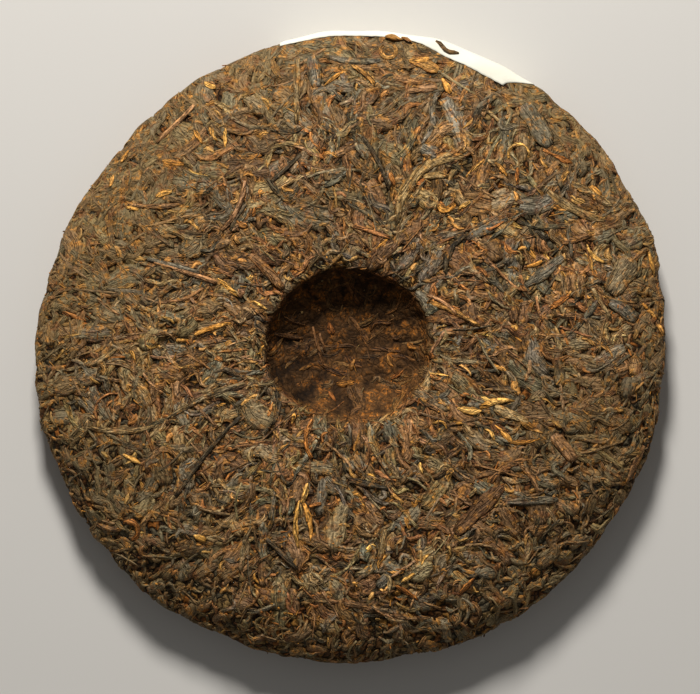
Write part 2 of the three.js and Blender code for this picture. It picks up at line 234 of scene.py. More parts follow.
def half_section():
    """Half of the section, from the dimple over the rim to the middle of the front."""
    floor = CAKE_HEIGHT - DIMPLE_DEPTH
    drop = CAKE_HEIGHT - RIM_LEVEL
    return np.array([
        (0, floor),
        (0.35 * DIMPLE_RADIUS, floor + 0.03 * DIMPLE_DEPTH),
        (0.68 * DIMPLE_RADIUS, floor + 0.2 * DIMPLE_DEPTH),
        (0.86 * DIMPLE_RADIUS, floor + 0.48 * DIMPLE_DEPTH),
        (0.97 * DIMPLE_RADIUS, floor + 0.82 * DIMPLE_DEPTH),
        (1.07 * DIMPLE_RADIUS, floor + 0.94 * DIMPLE_DEPTH),
        (1.25 * DIMPLE_RADIUS, floor + 0.98 * DIMPLE_DEPTH),
        (0.43 * CAKE_RADIUS, CAKE_HEIGHT),
        (0.62 * CAKE_RADIUS, CAKE_HEIGHT - 0.08 * drop),
        (0.79 * CAKE_RADIUS, CAKE_HEIGHT - 0.23 * drop),
        (0.91 * CAKE_RADIUS, CAKE_HEIGHT - 0.48 * drop),
        (0.975 * CAKE_RADIUS, CAKE_HEIGHT - 0.75 * drop),
        (CAKE_RADIUS, RIM_LEVEL),
        (0.98 * CAKE_RADIUS, 0.62 * RIM_LEVEL),
        (0.92 * CAKE_RADIUS, 0.35 * RIM_LEVEL),
        (0.82 * CAKE_RADIUS, 0.17 * RIM_LEVEL),
        (FLAT_RADIUS + 8, 1.1 * HOLLOW_UNDER),
        (FLAT_RADIUS - 8, HOLLOW_UNDER),
        (2 * REST_SPOT_RADIUS, HOLLOW_UNDER),
        (1.35 * REST_SPOT_RADIUS, 0.5 * HOLLOW_UNDER),
        (REST_SPOT_RADIUS, 0),
        (0, 0),
    ])


def smooth_line(points, steps):
    """Evenly spaced points on a Catmull-Rom curve through some points, and the distance to each."""
    held = np.vstack([points[:1], points, points[-1:]])
    share = np.linspace(0, 1, CURVE_STEPS, endpoint=False)[:, None]
    stretches = []
    for p0, p1, p2, p3 in zip(held, held[1:], held[2:], held[3:]):
        v0, v1 = (p2 - p0) / 2, (p3 - p1) / 2
        stretches.append((2 * (p1 - p2) + v0 + v1) * share**3
                         + (3 * (p2 - p1) - 2 * v0 - v1) * share**2 + v0 * share + p1)
    line = np.vstack([*stretches, points[-1:]])
    along = np.concatenate([[0], np.cumsum(np.linalg.norm(np.diff(line, axis=0), axis=1))])
    arc = np.linspace(0, along[-1], steps)
    return np.stack([np.interp(arc, along, line[:, k]) for k in (0, 1)], 1), arc


SECTION, ARC = smooth_line(half_section(), SECTION_STEPS)
SLOPE = np.gradient(SECTION, ARC, axis=0)
SLOPE /= np.linalg.norm(SLOPE, axis=1)[:, None]
RIM_ARC = ARC[np.argmax(SECTION[:, 0])]
FRONT_ARC = ARC[-1]


def arc_on_back(radius):
    """Distance along the skin from the middle of the back, at a radius outside the dimple's floor."""
    back = ARC <= RIM_ARC
    return float(np.interp(radius, SECTION[back, 0], ARC[back]))


LIP_ARC = arc_on_back(DIMPLE_RADIUS)


def unevenness(height, spacing, waves, seed):
    """The solid's uneven surface: a sum of waves that run in many directions."""
    stream = random_stream(SEED + seed)
    directions, phases = [], []
    for _ in range(waves):
        direction = np.array([next(stream) - 0.5 for _ in range(3)])
        spread = lerp(spacing[0], spacing[1], next(stream))
        directions.append(direction / np.linalg.norm(direction) * 2 * math.pi / spread)
        phases.append(2 * math.pi * next(stream))
    size = height * math.sqrt(2 / waves)
    return lambda points: np.sin(points @ np.array(directions).T + phases).sum(-1) * size


lumps = unevenness(**LUMPS)
bumps = unevenness(**BUMPS)


def crease(arc, turn):
    """Depth of the radial creases in the dimple, from 0 to 1."""
    stream = random_stream(SEED + 9)
    depth = np.zeros_like(arc)
    for fold in range(CREASES):
        middle = 2 * math.pi * (fold + 0.7 * next(stream)) / CREASES
        width = lerp(*CREASE_WIDTHS, next(stream))
        weight = lerp(*CREASE_WEIGHTS, next(stream))
        lean = CREASE_LEAN * (next(stream) - 0.5)
        off = (turn - middle - lean * arc + math.pi) % (2 * math.pi) - math.pi
        depth = np.maximum(depth, weight * np.exp(-((off / width) ** 2)))
    low, high = CREASE_REACH
    inner, outer = CREASE_FADES
    return depth * smoothstep(arc, low, low + inner) * (1 - smoothstep(arc, high - outer, high))


def skin(arc, turn, lift):
    """Points at a distance along the half section and a turn round the axis, lifted off the skin."""
    radius, level = (np.interp(arc, ARC, SECTION[:, k]) for k in (0, 1))
    out, up = (np.interp(arc, ARC, SLOPE[:, k]) for k in (0, 1))
    outline = 1 + (radius / CAKE_RADIUS) ** 2 / CAKE_RADIUS * sum(
        size * np.cos(lobes * (turn - middle)) for size, middle, lobes in (OVAL, THREE_SIDED))
    on_back = arc < RIM_ARC
    shift_end = DIMPLE_SHIFT_ENDS * DIMPLE_RADIUS
    shift = np.where(on_back, 1 - smoothstep(radius, DIMPLE_RADIUS, shift_end), 0)
    points = np.stack([
        radius * (outline + shift * DIMPLE_OVAL[0]) * np.cos(turn) + shift * DIMPLE_SHIFT[0],
        radius * (outline + shift * DIMPLE_OVAL[1]) * np.sin(turn) + shift * DIMPLE_SHIFT[1],
        level,
    ], -1)
    normal = np.stack([-up * np.cos(turn), -up * np.sin(turn), out], -1)
    on_table = np.where(on_back, 0, 1 - smoothstep(radius, *EVEN_ON_TABLE))
    uneven = (lumps(points) + bumps(points)) * (1 - on_table)
    uneven = uneven - CREASE_DEPTH * crease(arc, turn)
    beside, before = PAPER_PRESSES
    pressed = under_paper(arc, turn, beside) * smoothstep(arc, RIM_ARC - before, RIM_ARC)
    points = points + normal * (lift + uneven - PAPER_DRAWN_IN * pressed)[..., None]
    points[..., 2] = np.maximum(points[..., 2], TABLE_LEVEL)
    return points + np.array([*AXIS, 0])


def on_disc(places, front):
    """Distance along the skin and turn, of places on the skin unrolled to a disc."""
    reach = np.linalg.norm(places, axis=-1)
    return np.where(front, FRONT_ARC - reach, reach), np.arctan2(places[..., 1], places[..., 0])


def paper_reach(along):
    """How far the slip reaches over the back, at a share of the way from its right end."""
    return lerp(PAPER_REACH_BACK, PAPER_REACH_LEFT, smoothstep(along, *PAPER_NARROWS))


def under_paper(arc, turn, outside=1.0):
    """1 under the slip of paper, falling to 0 at some millimetres outside it."""
    back = RIM_ARC - paper_reach((turn - PAPER_RIGHT) / (PAPER_LEFT - PAPER_RIGHT))
    sides = np.minimum(turn - PAPER_RIGHT + 0.7 * PAPER_SLANT, PAPER_LEFT - turn) * CAKE_RADIUS
    inside = np.minimum(np.minimum(arc - back, RIM_ARC + PAPER_REACH_FRONT - arc), sides)
    return smoothstep(inside, -outside, PAPER_INSIDE)


def in_dimple(arc, front):
    """1 in the dimple, falling to 0 past its lip."""
    inner, outer = LIP_FADE
    return np.where(front, 0, 1 - smoothstep(arc, LIP_ARC + inner, LIP_ARC + outer))


def lit_in_dimple(arc, turn):
    """Painted light and shade on the smeared tea: darker up to the left, lighter down to the right."""
    x, y = arc * np.cos(turn), arc * np.sin(turn)
    slope_x, slope_y = DIMPLE_LIGHT_SLOPE
    light = slope_x * x + slope_y * (y - DIMPLE_LIGHT_MIDDLE)
    return DIMPLE_LIGHT * np.exp(np.clip(light, *DIMPLE_LIGHT_SPAN))


def flattened(arc, turn, front):
    """0 to 1: how smoothly the leaves are pressed together here."""
    x, y = arc * np.cos(turn), arc * np.sin(turn)
    begins, whole = RIM_FLAT_FROM
    total = RIM_FLAT * smoothstep(arc, RIM_ARC - begins, RIM_ARC - whole)
    for middle_x, middle_y, radius, share in FLAT_PATCHES:
        total = total + share * np.exp(-((x - middle_x) ** 2 + (y - middle_y) ** 2) / radius**2)
    return np.where(front, FRONT_FLAT, np.minimum(total, 1))


def settled(height, arc, turn, front):
    """Lift of what lies at a height in the pile, after pressing."""
    smeared = in_dimple(arc, front)
    most = lerp(PRESSED_TO, PRESSED_FLAT, flattened(arc, turn, front))
    most = lerp(most, PRESSED_IN_DIMPLE, smeared)
    pressed = np.where(height > 0, most * (1 - np.exp(-np.maximum(height, 0) / most)), height)
    lift = BED + pressed + smeared * RAISED_IN_DIMPLE
    return lerp(lift, np.minimum(lift, UNDER_PAPER), under_paper(arc, turn))


# Leaves, stems and tips

# How each kind of strand is made, in millimetres and shares of its own size
KINDS = {
    "rolled": {"length": (4, 22), "width": (1.3, 3.4), "thick": 0.42, "across": 6, "below": 1,
               "blunt": 0.42, "groove": 0.6, "twist": 1.3, "ragged": 0.16, "bend": 50, "wave": 0.85},
    "broad": {"length": (7, 17), "width": (3.4, 8.5), "thick": 0.18, "across": 8, "below": 1,
              "blunt": 0.3, "groove": 0.22, "twist": 0.6, "ragged": 0.22, "bend": 35, "wave": 0.3},
    "golden": {"length": (2.5, 9), "width": (0.9, 2.4), "thick": 0.38, "across": 5, "below": 1,
               "blunt": 0.5, "groove": 0.6, "twist": 0.9, "ragged": 0.28, "bend": 55, "wave": 0.5},
    "stem": {"length": (6, 20), "width": (0.6, 1.8), "thick": 0.62, "across": 4, "below": 2,
             "blunt": 0.12, "groove": 0.16, "twist": 0.1, "ragged": 0.05, "bend": 24, "wave": 0.08},
}
LEAST_STATIONS = 5
STATION_LENGTH = 4.5
STATION_BEND = 0.8
WIDE_ROLLED = 3.2  # wider rolled strands have two more points across

# The form of every strand, as shares of its width or thickness
TIP = 0.05
THICKNESS = (1.2, 0.8)  # for a strand a millimetre wide, and how it grows with the width
THIN_AT_TIPS = 0.7
WAVES_ALONG = (0.6, 1.3)
RUFFLE = 0.4
GROOVES = (0.7, 1.7)
GROOVES_TURN_IN = 8  # millimetres
ROUGHNESS = 0.07
LIES_ON_HIGHEST = 0.4  # the rest of the weight is on the mean of what is under it
BURIED = 0.5
UNDERSIDE = 0.4
UNDERSIDE_WIDTH = 0.6
UNDERSIDE_MAP = 1.6  # how much wider the underside is on the strand's own map

# Painted light and shade over a strand: painted shade at its edges, in its grooves and on its underside,
# lighter on its crown partly as rubbed wear and partly as a painted highlight
SHADE_AT_EDGE = 0.1
SHADE_ON_CROWN = 1.08
SHADE_IN_GROOVE = 0.85
SHADE_ALONG = 0.1
SHADE_BELOW = 0.12
GRAIN_SPREAD = 400  # how far apart the strands lie in the grain of their material

# Colours as they look on a screen
COLOURS = {
    "ink": (0.27, 0.222, 0.145),
    "slate": (0.41, 0.366, 0.278),
    "moss": (0.48, 0.397, 0.262),
    "olive": (0.545, 0.437, 0.268),
    "khaki": (0.605, 0.483, 0.292),
    "umber": (0.50, 0.352, 0.205),
    "umber_dark": (0.38, 0.26, 0.145),
    "chestnut": (0.54, 0.345, 0.175),
    "rosewood": (0.54, 0.38, 0.23),
    "rosewood_light": (0.64, 0.45, 0.27),
    "rust": (0.67, 0.415, 0.18),
    "honey_dark": (0.67, 0.475, 0.225),
    "honey": (0.79, 0.545, 0.235),
    "gold": (0.88, 0.655, 0.32),
}
MASS_TINT = (0.485, 0.41, 0.27)
TINT_DRAWN_IN = 0.16  # how much the scattered strands' colours are drawn to one
TINT_LIGHTNESS_SPREAD = 0.16
TINT_HUE_SPREAD = 0.03

# How much more often each colour comes in the warm regions
WARMTH = {
    "ink": -0.8, "slate": -0.5, "moss": 0, "olive": 0.5, "khaki": 1, "umber": 0, "umber_dark": -0.6,
    "chestnut": -0.1, "rosewood": 0, "rosewood_light": 0.3, "rust": 0, "honey_dark": 0.5,
    "honey": 0.5, "gold": 0.3,
}
REGION_PULL = 0.9
REGION_WAVES = [(0.09, 0.05, 1), (-0.06, 0.11, 4), (0.17, -0.13, 0)]  # along x, along y, start
DARK_TOP = (1.3, 10, 45, 85, 35)  # how dark, then middle and reach along x and along y
LIGHT_SIDES = (0.5, 10, 40)  # how light, middle and reach along y

# How strands lie beside one another
ALONGSIDE = 0.75
STRAY = 0.45
SWIRL = 1.5
SWIRL_FROM = (30, 85)
OUT_OF_DIMPLE = (9, -3, 0.35)  # from the middle, from the lip, and how far they stray
ROUND_THE_LIP = (2.4, 0.6, 0.5)  # how near it, what share of them, and how far they stray
PLACE_SPREAD = 1.2
TURN_SPREAD = 0.02

# How large the strands are
SIZE = 1.05
SIZE_ON_FRONT = 1.1
SMALLER_AT_RIM = 0.3
RIM_ZONE = (26, 4)  # before the rim's widest line
NEAR_HALF = (-50, 20)  # towards the near edge, where the rim's strands turn smaller
SMALLER_NEAR = (0.15, 15, 80)  # how much, and from where to where
LARGER_FAR = (0.15, 20, 80)
LENGTH_MIX = (1.3, 2.4)  # shapes of the mix, with more short strands than long ones
WIDTH_MIX = (1.6, 2.4)
WIDTH_GROWS = 0.6

# Scattered strands: kind, number on the back and rim, number on the front, colours and their shares
SCATTERED = [
    ("rolled", 4180, 540, {"ink": 3, "slate": 5, "umber_dark": 4, "moss": 5, "olive": 4, "khaki": 1,
                           "umber": 5, "chestnut": 3, "rosewood": 1.5}),
    ("broad", 820, 110, {"slate": 5, "moss": 4, "umber": 4, "olive": 1, "umber_dark": 4}),
    ("golden", 950, 130, {"honey_dark": 5, "honey": 4, "gold": 1, "rust": 5}),
    ("stem", 420, 60, {"chestnut": 3, "rosewood": 2, "umber_dark": 4, "umber": 3, "ink": 4, "moss": 3,
                       "rosewood_light": 0.4}),
]
LATE = {"golden": 0.3, "stem": 0.25, "broad": -0.12}  # how much later in the laying
FAMILIES = {
    "dark_leaves": ("ink", "slate", "umber_dark"),
    "olive_leaves": ("moss", "olive", "khaki", "honey_dark"),
    "brown_leaves": ("umber", "chestnut", "rosewood"),
}
PIECES = {"broad": "broad_leaves", "golden": "golden_tips", "stem": "stems"}

# Finish of each piece: its material, painted shade lines, patches, roughness and depth of the wrinkles
FINISHES = {
    "dark_leaves": ("dark_leaf", 0.36, 0.4, 0.62, 0.4),
    "olive_leaves": ("olive_leaf", 0.34, 0.55, 0.68, 0.4),
    "brown_leaves": ("brown_leaf", 0.36, 0.5, 0.68, 0.4),
    "broad_leaves": ("broad_leaf", 0.24, 0.55, 0.64, 0.28),
    "golden_tips": ("golden_tip", 0.4, 0.25, 0.7, 0.3),
    "stems": ("stem", 0.3, 0.15, 0.55, 0.15),
}

# Strands that stand out: kind, colour, x, y, heading, length, width, bend
MAIN_STRANDS = [
    ("stem", "rosewood_light", -56.0, 71.1, 44, 17.6, 2.0, 0),
    ("rolled", "olive", -17.3, 80.1, 269, 21.4, 2.6, 3),
    ("rolled", "ink", -20.3, 68.0, 357, 12.1, 1.6, 90),
    ("stem", "rosewood", -36.1, 44.4, 243, 18.1, 1.9, -44),
    ("stem", "ink", -20.5, 56.3, 40, 13.0, 1.6, 0),
    ("stem", "rosewood_light", -51.7, 24.1, 343, 20.7, 2.3, -3),
    ("stem", "slate", -55.5, 26.0, 347, 17.1, 1.7, 0),
    ("golden", "honey", -42.9, 6.0, 19, 12.5, 2.8, -20),
    ("rolled", "umber", -62.0, 44.8, 360, 17.5, 2.0, 24),
    ("golden", "rust", -86.3, 10.1, 340, 8.2, 2.2, 0),
    ("golden", "gold", -38.1, 19.2, 318, 9.2, 2.0, 0),
    ("golden", "gold", -28.2, 13.5, 331, 5.7, 1.9, 0),
    ("broad", "umber", -25.8, 24.7, 313, 15.4, 3.7, -19),
    ("golden", "gold", -39.7, 65.7, 270, 6.2, 1.6, 0),
    ("rolled", "khaki", 21.6, 52.2, 42, 31.0, 4.0, -105),
    ("rolled", "khaki", 25.6, 53.4, 358, 8.0, 2.4, -20),
    ("golden", "gold", 50.4, 60.8, 8, 12.0, 1.5, -206),
    ("golden", "honey", 45.4, 54.9, 313, 5.9, 1.5, 0),
    ("golden", "rust", 50.2, 52.9, 270, 5.3, 1.4, 0),
    ("stem", "ink", 7.6, 58.0, 302, 18.0, 1.6, -18),
    ("stem", "chestnut", 6.7, 37.7, 342, 13.3, 1.7, 0),
    ("rolled", "olive", 68.2, 43.3, 333, 21.1, 3.2, 34),
    ("broad", "slate", 59.2, 24.0, 39, 14.3, 3.7, 0),
    ("rolled", "slate", 66.8, 33.2, 278, 10.7, 2.0, 0),
    ("stem", "olive", 76.9, 13.8, 301, 12.0, 1.8, 0),
    ("rolled", "honey_dark", 32.4, 11.0, 330, 19.3, 2.2, -15),
    ("rolled", "ink", 31.5, 30.3, 67, 15.2, 2.4, -81),
    ("broad", "slate", 56.1, 68.2, 304, 15.6, 7.0, 0),
    ("golden", "rust", 62.6, 58.9, 335, 10.3, 1.8, 0),
    ("golden", "gold", 92.2, 26.2, 286, 8.0, 2.0, 0),
    ("golden", "gold", 34.4, 44.6, 27, 4.2, 1.7, 0),
    ("rolled", "olive", -77.0, -2.8, 34, 10.1, 2.4, 0),
    ("rolled", "olive", -71.0, -24.5, 0, 21.0, 2.2, 30),
    ("rolled", "moss", -45.0, -16.5, 20, 26.0, 2.2, -22),
    ("stem", "ink", -44.6, -33.5, 48, 29.8, 2.0, -20),
    ("golden", "gold", -67.4, -33.5, 330, 6.1, 1.6, 0),
    ("golden", "rust", -67.2, -55.0, 295, 10.8, 2.2, -203),
    ("rolled", "umber", -74.9, -54.7, 350, 8.5, 2.0, 0),
    ("golden", "gold", -14.3, -46.9, 250, 5.8, 2.6, -30),
    ("golden", "gold", -17.0, -55.0, 268, 13.2, 1.8, 40),
    ("golden", "honey", -13.5, -54.4, 283, 11.0, 2.4, -35),
    ("stem", "rust", -11.2, -50.1, 8, 4.0, 1.2, 0),
    ("stem", "rust", -12.9, -31.3, 270, 13.2, 1.9, 79),
    ("golden", "gold", -46.7, -57.7, 335, 4.4, 1.9, 0),
    ("stem", "ink", -21.9, -63.1, 317, 14.0, 2.0, 0),
    ("stem", "chestnut", -76.7, -16.6, 55, 13.2, 1.0, -140),
    ("rolled", "ink", -22.6, -19.7, 270, 15.0, 2.2, -58),
    ("broad", "khaki", 49.5, -21.2, 342, 10.5, 3.8, 0),
    ("golden", "gold", 37.0, -21.0, 2, 7.6, 2.5, 40),
    ("golden", "gold", 45.2, -17.9, 20, 11.5, 2.6, -35),
    ("golden", "honey", 47.1, -27.2, 314, 7.0, 2.3, -10),
    ("golden", "honey", 53.2, -28.9, 12, 9.8, 1.8, 35),
    ("golden", "honey_dark", 55.3, -24.6, 337, 7.4, 1.7, 0),
    ("broad", "rosewood", 65.4, -30.5, 309, 10.8, 4.6, 0),
    ("broad", "umber_dark", 38.9, -49.8, 44, 21.9, 4.3, 0),
    ("rolled", "slate", 55.8, -47.1, 4, 16.8, 3.2, 0),
    ("golden", "gold", 17.0, -70.5, 33, 5.2, 1.8, 0),
    ("golden", "rust", 35.3, -73.5, 48, 7.5, 1.7, 0),
    ("rolled", "rosewood", 88.3, -36.0, 66, 13.6, 3.0, 0),
    ("golden", "rust", 16.7, -75.2, 328, 8.8, 1.7, 0),
    ("rolled", "ink", 5.6, -44.8, 351, 13.2, 2.2, 0),
    ("rolled", "olive", 9.1, -61.2, 76, 9.2, 2.8, 0),
    ("golden", "gold", 27.9, -9.9, 354, 6.2, 0.9, 0),
    ("stem", "rosewood", -9.8, -0.5, 284, 13.8, 1.3, 4),
    ("stem", "rosewood", -8.5, 0.9, 284, 6.4, 1.1, 0),
    ("golden", "honey", 29.1, 44.3, 0, 6.7, 2.2, 135),
    ("golden", "gold", 74.4, 29.2, 315, 8.5, 1.6, 60),
    ("golden", "rust", 63.8, 14.6, 40, 7.0, 2.2, 0),
    ("broad", "honey", 74.2, 48.0, 300, 5.0, 3.8, 0),
    ("golden", "honey", 56.0, 26.2, 20, 5.0, 1.8, 40),
    ("golden", "honey", 92.5, 12.0, 318, 7.0, 2.0, 0),
    ("golden", "honey", 95.8, 6.0, 300, 4.5, 2.2, 0),
    ("broad", "slate", 84.0, 12.0, 328, 11.0, 4.2, -15),
    ("broad", "moss", 82.8, 22.5, 60, 13.0, 8.0, 0),
    ("golden", "honey", -72.3, 61.0, 235, 5.0, 2.0, 0),
    ("golden", "honey", -76.0, 53.0, 260, 4.5, 1.6, 0),
    ("golden", "honey", -56.4, 58.4, 350, 7.5, 2.6, 20),
    ("golden", "honey", -48.3, 66.3, 302, 5.2, 1.8, 0),
    ("golden", "gold", -59.0, 48.5, 20, 5.6, 2.2, -40),
    ("golden", "gold", -69.0, 44.0, 350, 4.4, 1.7, 0),
    ("golden", "gold", -45.0, 83.0, 330, 5.0, 2.2, 60),
    ("rolled", "olive", 73.4, 47.5, 332, 15.4, 3.0, 4),
    ("broad", "slate", 23.4, 60.5, 335, 5.8, 5.2, 0),
    ("golden", "rust", 12.4, 53.0, 297, 4.2, 2.2, 0),
    ("rolled", "umber", 68.8, 33.9, 17, 9.7, 2.6, 0),
    ("stem", "rosewood_light", 29.1, 14.0, 321, 12.9, 1.5, -33),
    ("rolled", "slate", 0.5, 89.0, 352, 17.0, 2.6, 30),
    ("rolled", "honey_dark", 10.9, 91.2, 0, 13.0, 1.7, 290),
    ("broad", "honey_dark", 22.0, 87.0, 335, 9.5, 3.4, 0),
    ("golden", "honey", 20.3, 88.4, 8, 6.5, 2.4, 30),
    ("golden", "honey_dark", 3.4, 84.3, 318, 11.0, 1.9, -30),
    ("golden", "honey", -5.9, 83.7, 35, 7.5, 1.6, -20),
    ("golden", "honey", 28.5, 80.3, 300, 5.5, 2.2, 0),
    ("broad", "umber", 21.0, 79.5, 8, 10.0, 3.2, 0),
    ("broad", "slate", -12.0, 85.9, 100, 10.0, 5.0, 0),
    ("golden", "rust", -5.8, 5.5, 285, 4.5, 2.2, 20),
    ("golden", "honey_dark", -13.6, -7.6, 25, 4.6, 1.4, 10),
    ("golden", "honey_dark", 1.0, -6.8, 75, 4.0, 2.0, 0),
    ("golden", "honey_dark", 12.8, -5.6, 300, 4.4, 1.6, 40),
    ("golden", "honey", 19.8, -0.4, 330, 4.5, 2.2, 60),
    ("golden", "honey", -1.2, -13.0, 10, 6.0, 2.6, 20),
    ("golden", "rust", -5.4, -17.8, 300, 4.5, 2.0, 0),
    ("rolled", "umber_dark", -5.0, -8.3, 335, 12.0, 2.0, 50),
    ("rolled", "umber_dark", 11.3, -1.8, 355, 10.5, 1.8, -15),
    ("rolled", "umber_dark", -19.0, 3.0, 350, 10.0, 1.8, 10),
    ("rolled", "umber_dark", -18.0, 8.5, 335, 10.0, 1.6, 10),
    ("golden", "rust", 15.0, -10.0, 40, 5.0, 2.0, 30),
]

# The tea's colours and where each begins, from 0 to 1
CRUMB_COLOURS = [
    ("umber", 0), ("rust", 0.2), ("olive", 0.28), ("honey_dark", 0.42), ("umber_dark", 0.56),
    ("khaki", 0.7), ("rosewood", 0.8), ("moss", 0.86), ("honey", 0.95),
]
MASS_COLOURS = [
    ("umber_dark", 0), ("moss", 0.16), ("umber", 0.3), ("slate", 0.44), ("olive", 0.58), ("khaki", 0.7),
    ("chestnut", 0.78), ("rust", 0.88), ("honey_dark", 0.94),
]

# Bits of leaf on the slip, given as the strands that stand out
BITS_ON_PAPER = [
    ("rolled", "umber_dark", 28.6, 91.9, -31, 9.2, 1.7, 10),
    ("golden", "honey", 12.6, 95.3, -14, 6.0, 2.3, 25),
    ("golden", "rust", 16.4, 94.4, -35, 4.0, 1.5, -20),
]
GOLDEN_ANGLE = math.pi * (3 - math.sqrt(5))
CELL_MARGIN = 0.04  # round each strand's cell in the atlas


def region(x, y):
    """Slow change over the cake, about -1 to 1: warm and khaki above 0, dark below."""
    waves = sum(np.sin(along_x * x + along_y * y + start) for along_x, along_y, start in REGION_WAVES)
    dark, middle_x, reach_x, middle_y, reach_y = DARK_TOP
    dark_top = dark * np.exp(-(((x - middle_x) / reach_x) ** 2) - ((y - middle_y) / reach_y) ** 2)
    light, middle, reach = LIGHT_SIDES
    light_sides = light * np.exp(-(((y - middle) / reach) ** 2))
    return 0.4 * waves + 0.4 * (y - x) / BACK_REACH - dark_top + light_sides


class Pile:
    """How high the leaves lie, on a grid over the skin unrolled to a disc."""

    def __init__(self, reach):
        self.reach = reach + PILE_MARGIN
        self.heights = np.zeros((int(2 * self.reach / PILE_CELL) + 1,) * 2)
        self.even = None

    def cells(self, places):
        found = ((places + self.reach) / PILE_CELL).astype(int)
        found = np.clip(found, 0, len(self.heights) - 1)
        return found[..., 0], found[..., 1]

    def under(self, places):
        return self.heights[self.cells(places)]

    def cover(self, places, tops):
        """Raises the pile to a strand's upper side."""
        length = np.linalg.norm(places[1, 0] - places[0, 0])
        width = np.linalg.norm(places[:, 1:] - places[:, :-1], axis=-1).max()
        spans = np.array([length, width]) / (COVER_STEP * PILE_CELL)
        steps = [np.linspace(0, 1, 1 + math.ceil(span)) for span in spans]
        along = steps[0][:, None, None, None, None]
        over = steps[1][None, :, None, None, None]
        whole = np.dstack([places, tops])
        fine = ((1 - along) * ((1 - over) * whole[:-1, :-1] + over * whole[:-1, 1:])
                + along * ((1 - over) * whole[1:, :-1] + over * whole[1:, 1:]))
        np.maximum.at(self.heights, self.cells(fine[..., :2]), fine[..., 2])

    def smooth(self, cells):
        """Keeps the pile's mean level around each place."""
        even = self.heights
        for axis in (0, 1, 0, 1):
            even = sum(np.roll(even, step, axis) for step in range(-cells, cells + 1)) / (2 * cells + 1)
        self.even = even

    def depth(self, places, heights):
        """How far points lie below the mean level around them."""
        return self.even[self.cells(places)] - heights


def eased(values, times):
    """Numbers in a row, each drawn towards its neighbours."""
    for _ in range(times):
        held = np.concatenate([values[:1], values, values[-1:]])
        values = (held[:-2] + 2 * held[1:-1] + held[2:]) / 4
    return values


def strand_line(spec, share, rng):
    """A strand's middle line and the way to its left, at each station along it."""
    stride = spec["length"] / (len(share) - 1)
    sway = 0 if "proud" in spec else KINDS[spec["kind"]]["wave"] * rng.normal()
    sway = sway * np.sin(2 * math.pi * (rng.uniform(*WAVES_ALONG) * share + rng.random()))
    heading = spec["heading"] + spec["bend"] * (share - 0.5) + sway
    steps = np.stack([np.cos(heading), np.sin(heading)], 1)
    path = np.vstack([[0, 0], np.cumsum((steps[1:] + steps[:-1]) / 2 * stride, axis=0)])
    path += np.array([spec["x"], spec["y"]]) - path.mean(0)
    return path, np.stack([-steps[:, 1], steps[:, 0]], 1)


def lay_strand(spec, pile, rng):
    """Lays one strand on the pile: a ring of points at each station along it, as places on the
    unrolled disc with heights, and what its colours and its own map need."""
    kind = KINDS[spec["kind"]]
    wide = spec["kind"] == "rolled" and spec["width"] > WIDE_ROLLED
    across = kind["across"] + (2 if wide else 0)
    bends = abs(spec["bend"]) / STATION_BEND
    stations = LEAST_STATIONS + round(spec["length"] / STATION_LENGTH + bends)
    share = np.linspace(0, 1, stations)
    path, left = strand_line(spec, share, rng)

    at_one, growth = THICKNESS
    taper = np.clip(np.sin(math.pi * (TIP + (1 - 2 * TIP) * share)), 0, 1) ** kind["blunt"]
    half = spec["width"] / 2 * taper * (1 + kind["ragged"] * eased(rng.normal(size=stations), 1))
    thick = kind["thick"] * spec["width"] ** growth * at_one * taper**THIN_AT_TIPS
    over = np.sin(math.pi / 2 * np.linspace(-1, 1, across))
    ruffle = kind["ragged"] * RUFFLE * half[:, None] * rng.normal(size=(stations, across))
    ruffle = ruffle * np.abs(over) ** 3
    places = path[:, None] + left[:, None] * (over * half[:, None] + ruffle)[..., None]
    turns = kind["twist"] * rng.uniform(-1, 1) * share[:, None] * spec["length"] / GROOVES_TURN_IN
    groove = 0.5 + 0.5 * np.cos(2 * math.pi * (rng.uniform(*GROOVES) * over + turns + rng.random()))
    groove = groove**2
    dome = (1 - np.abs(over) ** 3) ** 0.5
    crown = dome * (1 - kind["groove"] * groove) + ROUGHNESS * rng.normal(size=(stations, across))

    under = pile.under(places)
    level = eased(LIES_ON_HIGHEST * under.max(1) + (1 - LIES_ON_HIGHEST) * under.mean(1), 2)
    base = level - (BURIED * thick + BURIED * kind["thick"] * spec["width"] * (1 - taper))
    tops = base[:, None] + thick[:, None] * crown
    pile.cover(places, tops)

    below = kind["below"]
    low_over = np.linspace(UNDERSIDE_WIDTH, -UNDERSIDE_WIDTH, below) if below > 1 else np.zeros(1)
    low_places = path[:, None] + left[:, None] * (low_over * half[:, None])[..., None]
    low_heights = np.repeat((base - UNDERSIDE * thick)[:, None], below, axis=1)
    under_map = low_over * UNDERSIDE_MAP
    # Painted shade at the strand's edges and in its grooves, a painted highlight on its crown
    in_groove = SHADE_IN_GROOVE * kind["groove"] * groove
    shade = SHADE_AT_EDGE + SHADE_ON_CROWN * dome * (1 - in_groove)
    shade = shade * (1 + SHADE_ALONG * eased(rng.normal(size=stations), 1))[:, None]
    return {
        "front": spec["front"],
        "places": np.concatenate([places, low_places], axis=1),
        "heights": np.concatenate([tops, low_heights], axis=1),
        "shade": np.concatenate([shade, np.full((stations, below), SHADE_BELOW)], axis=1),
        "along": np.repeat((share * spec["length"])[:, None], across + below, axis=1),
        "across": np.concatenate([over * half[:, None], under_map * -half[:, None]], axis=1),
        "colour": spec["colour"],
        "grain": rng.uniform(0, GRAIN_SPREAD, 2),
        "proud": spec.get("proud", 0),
    }


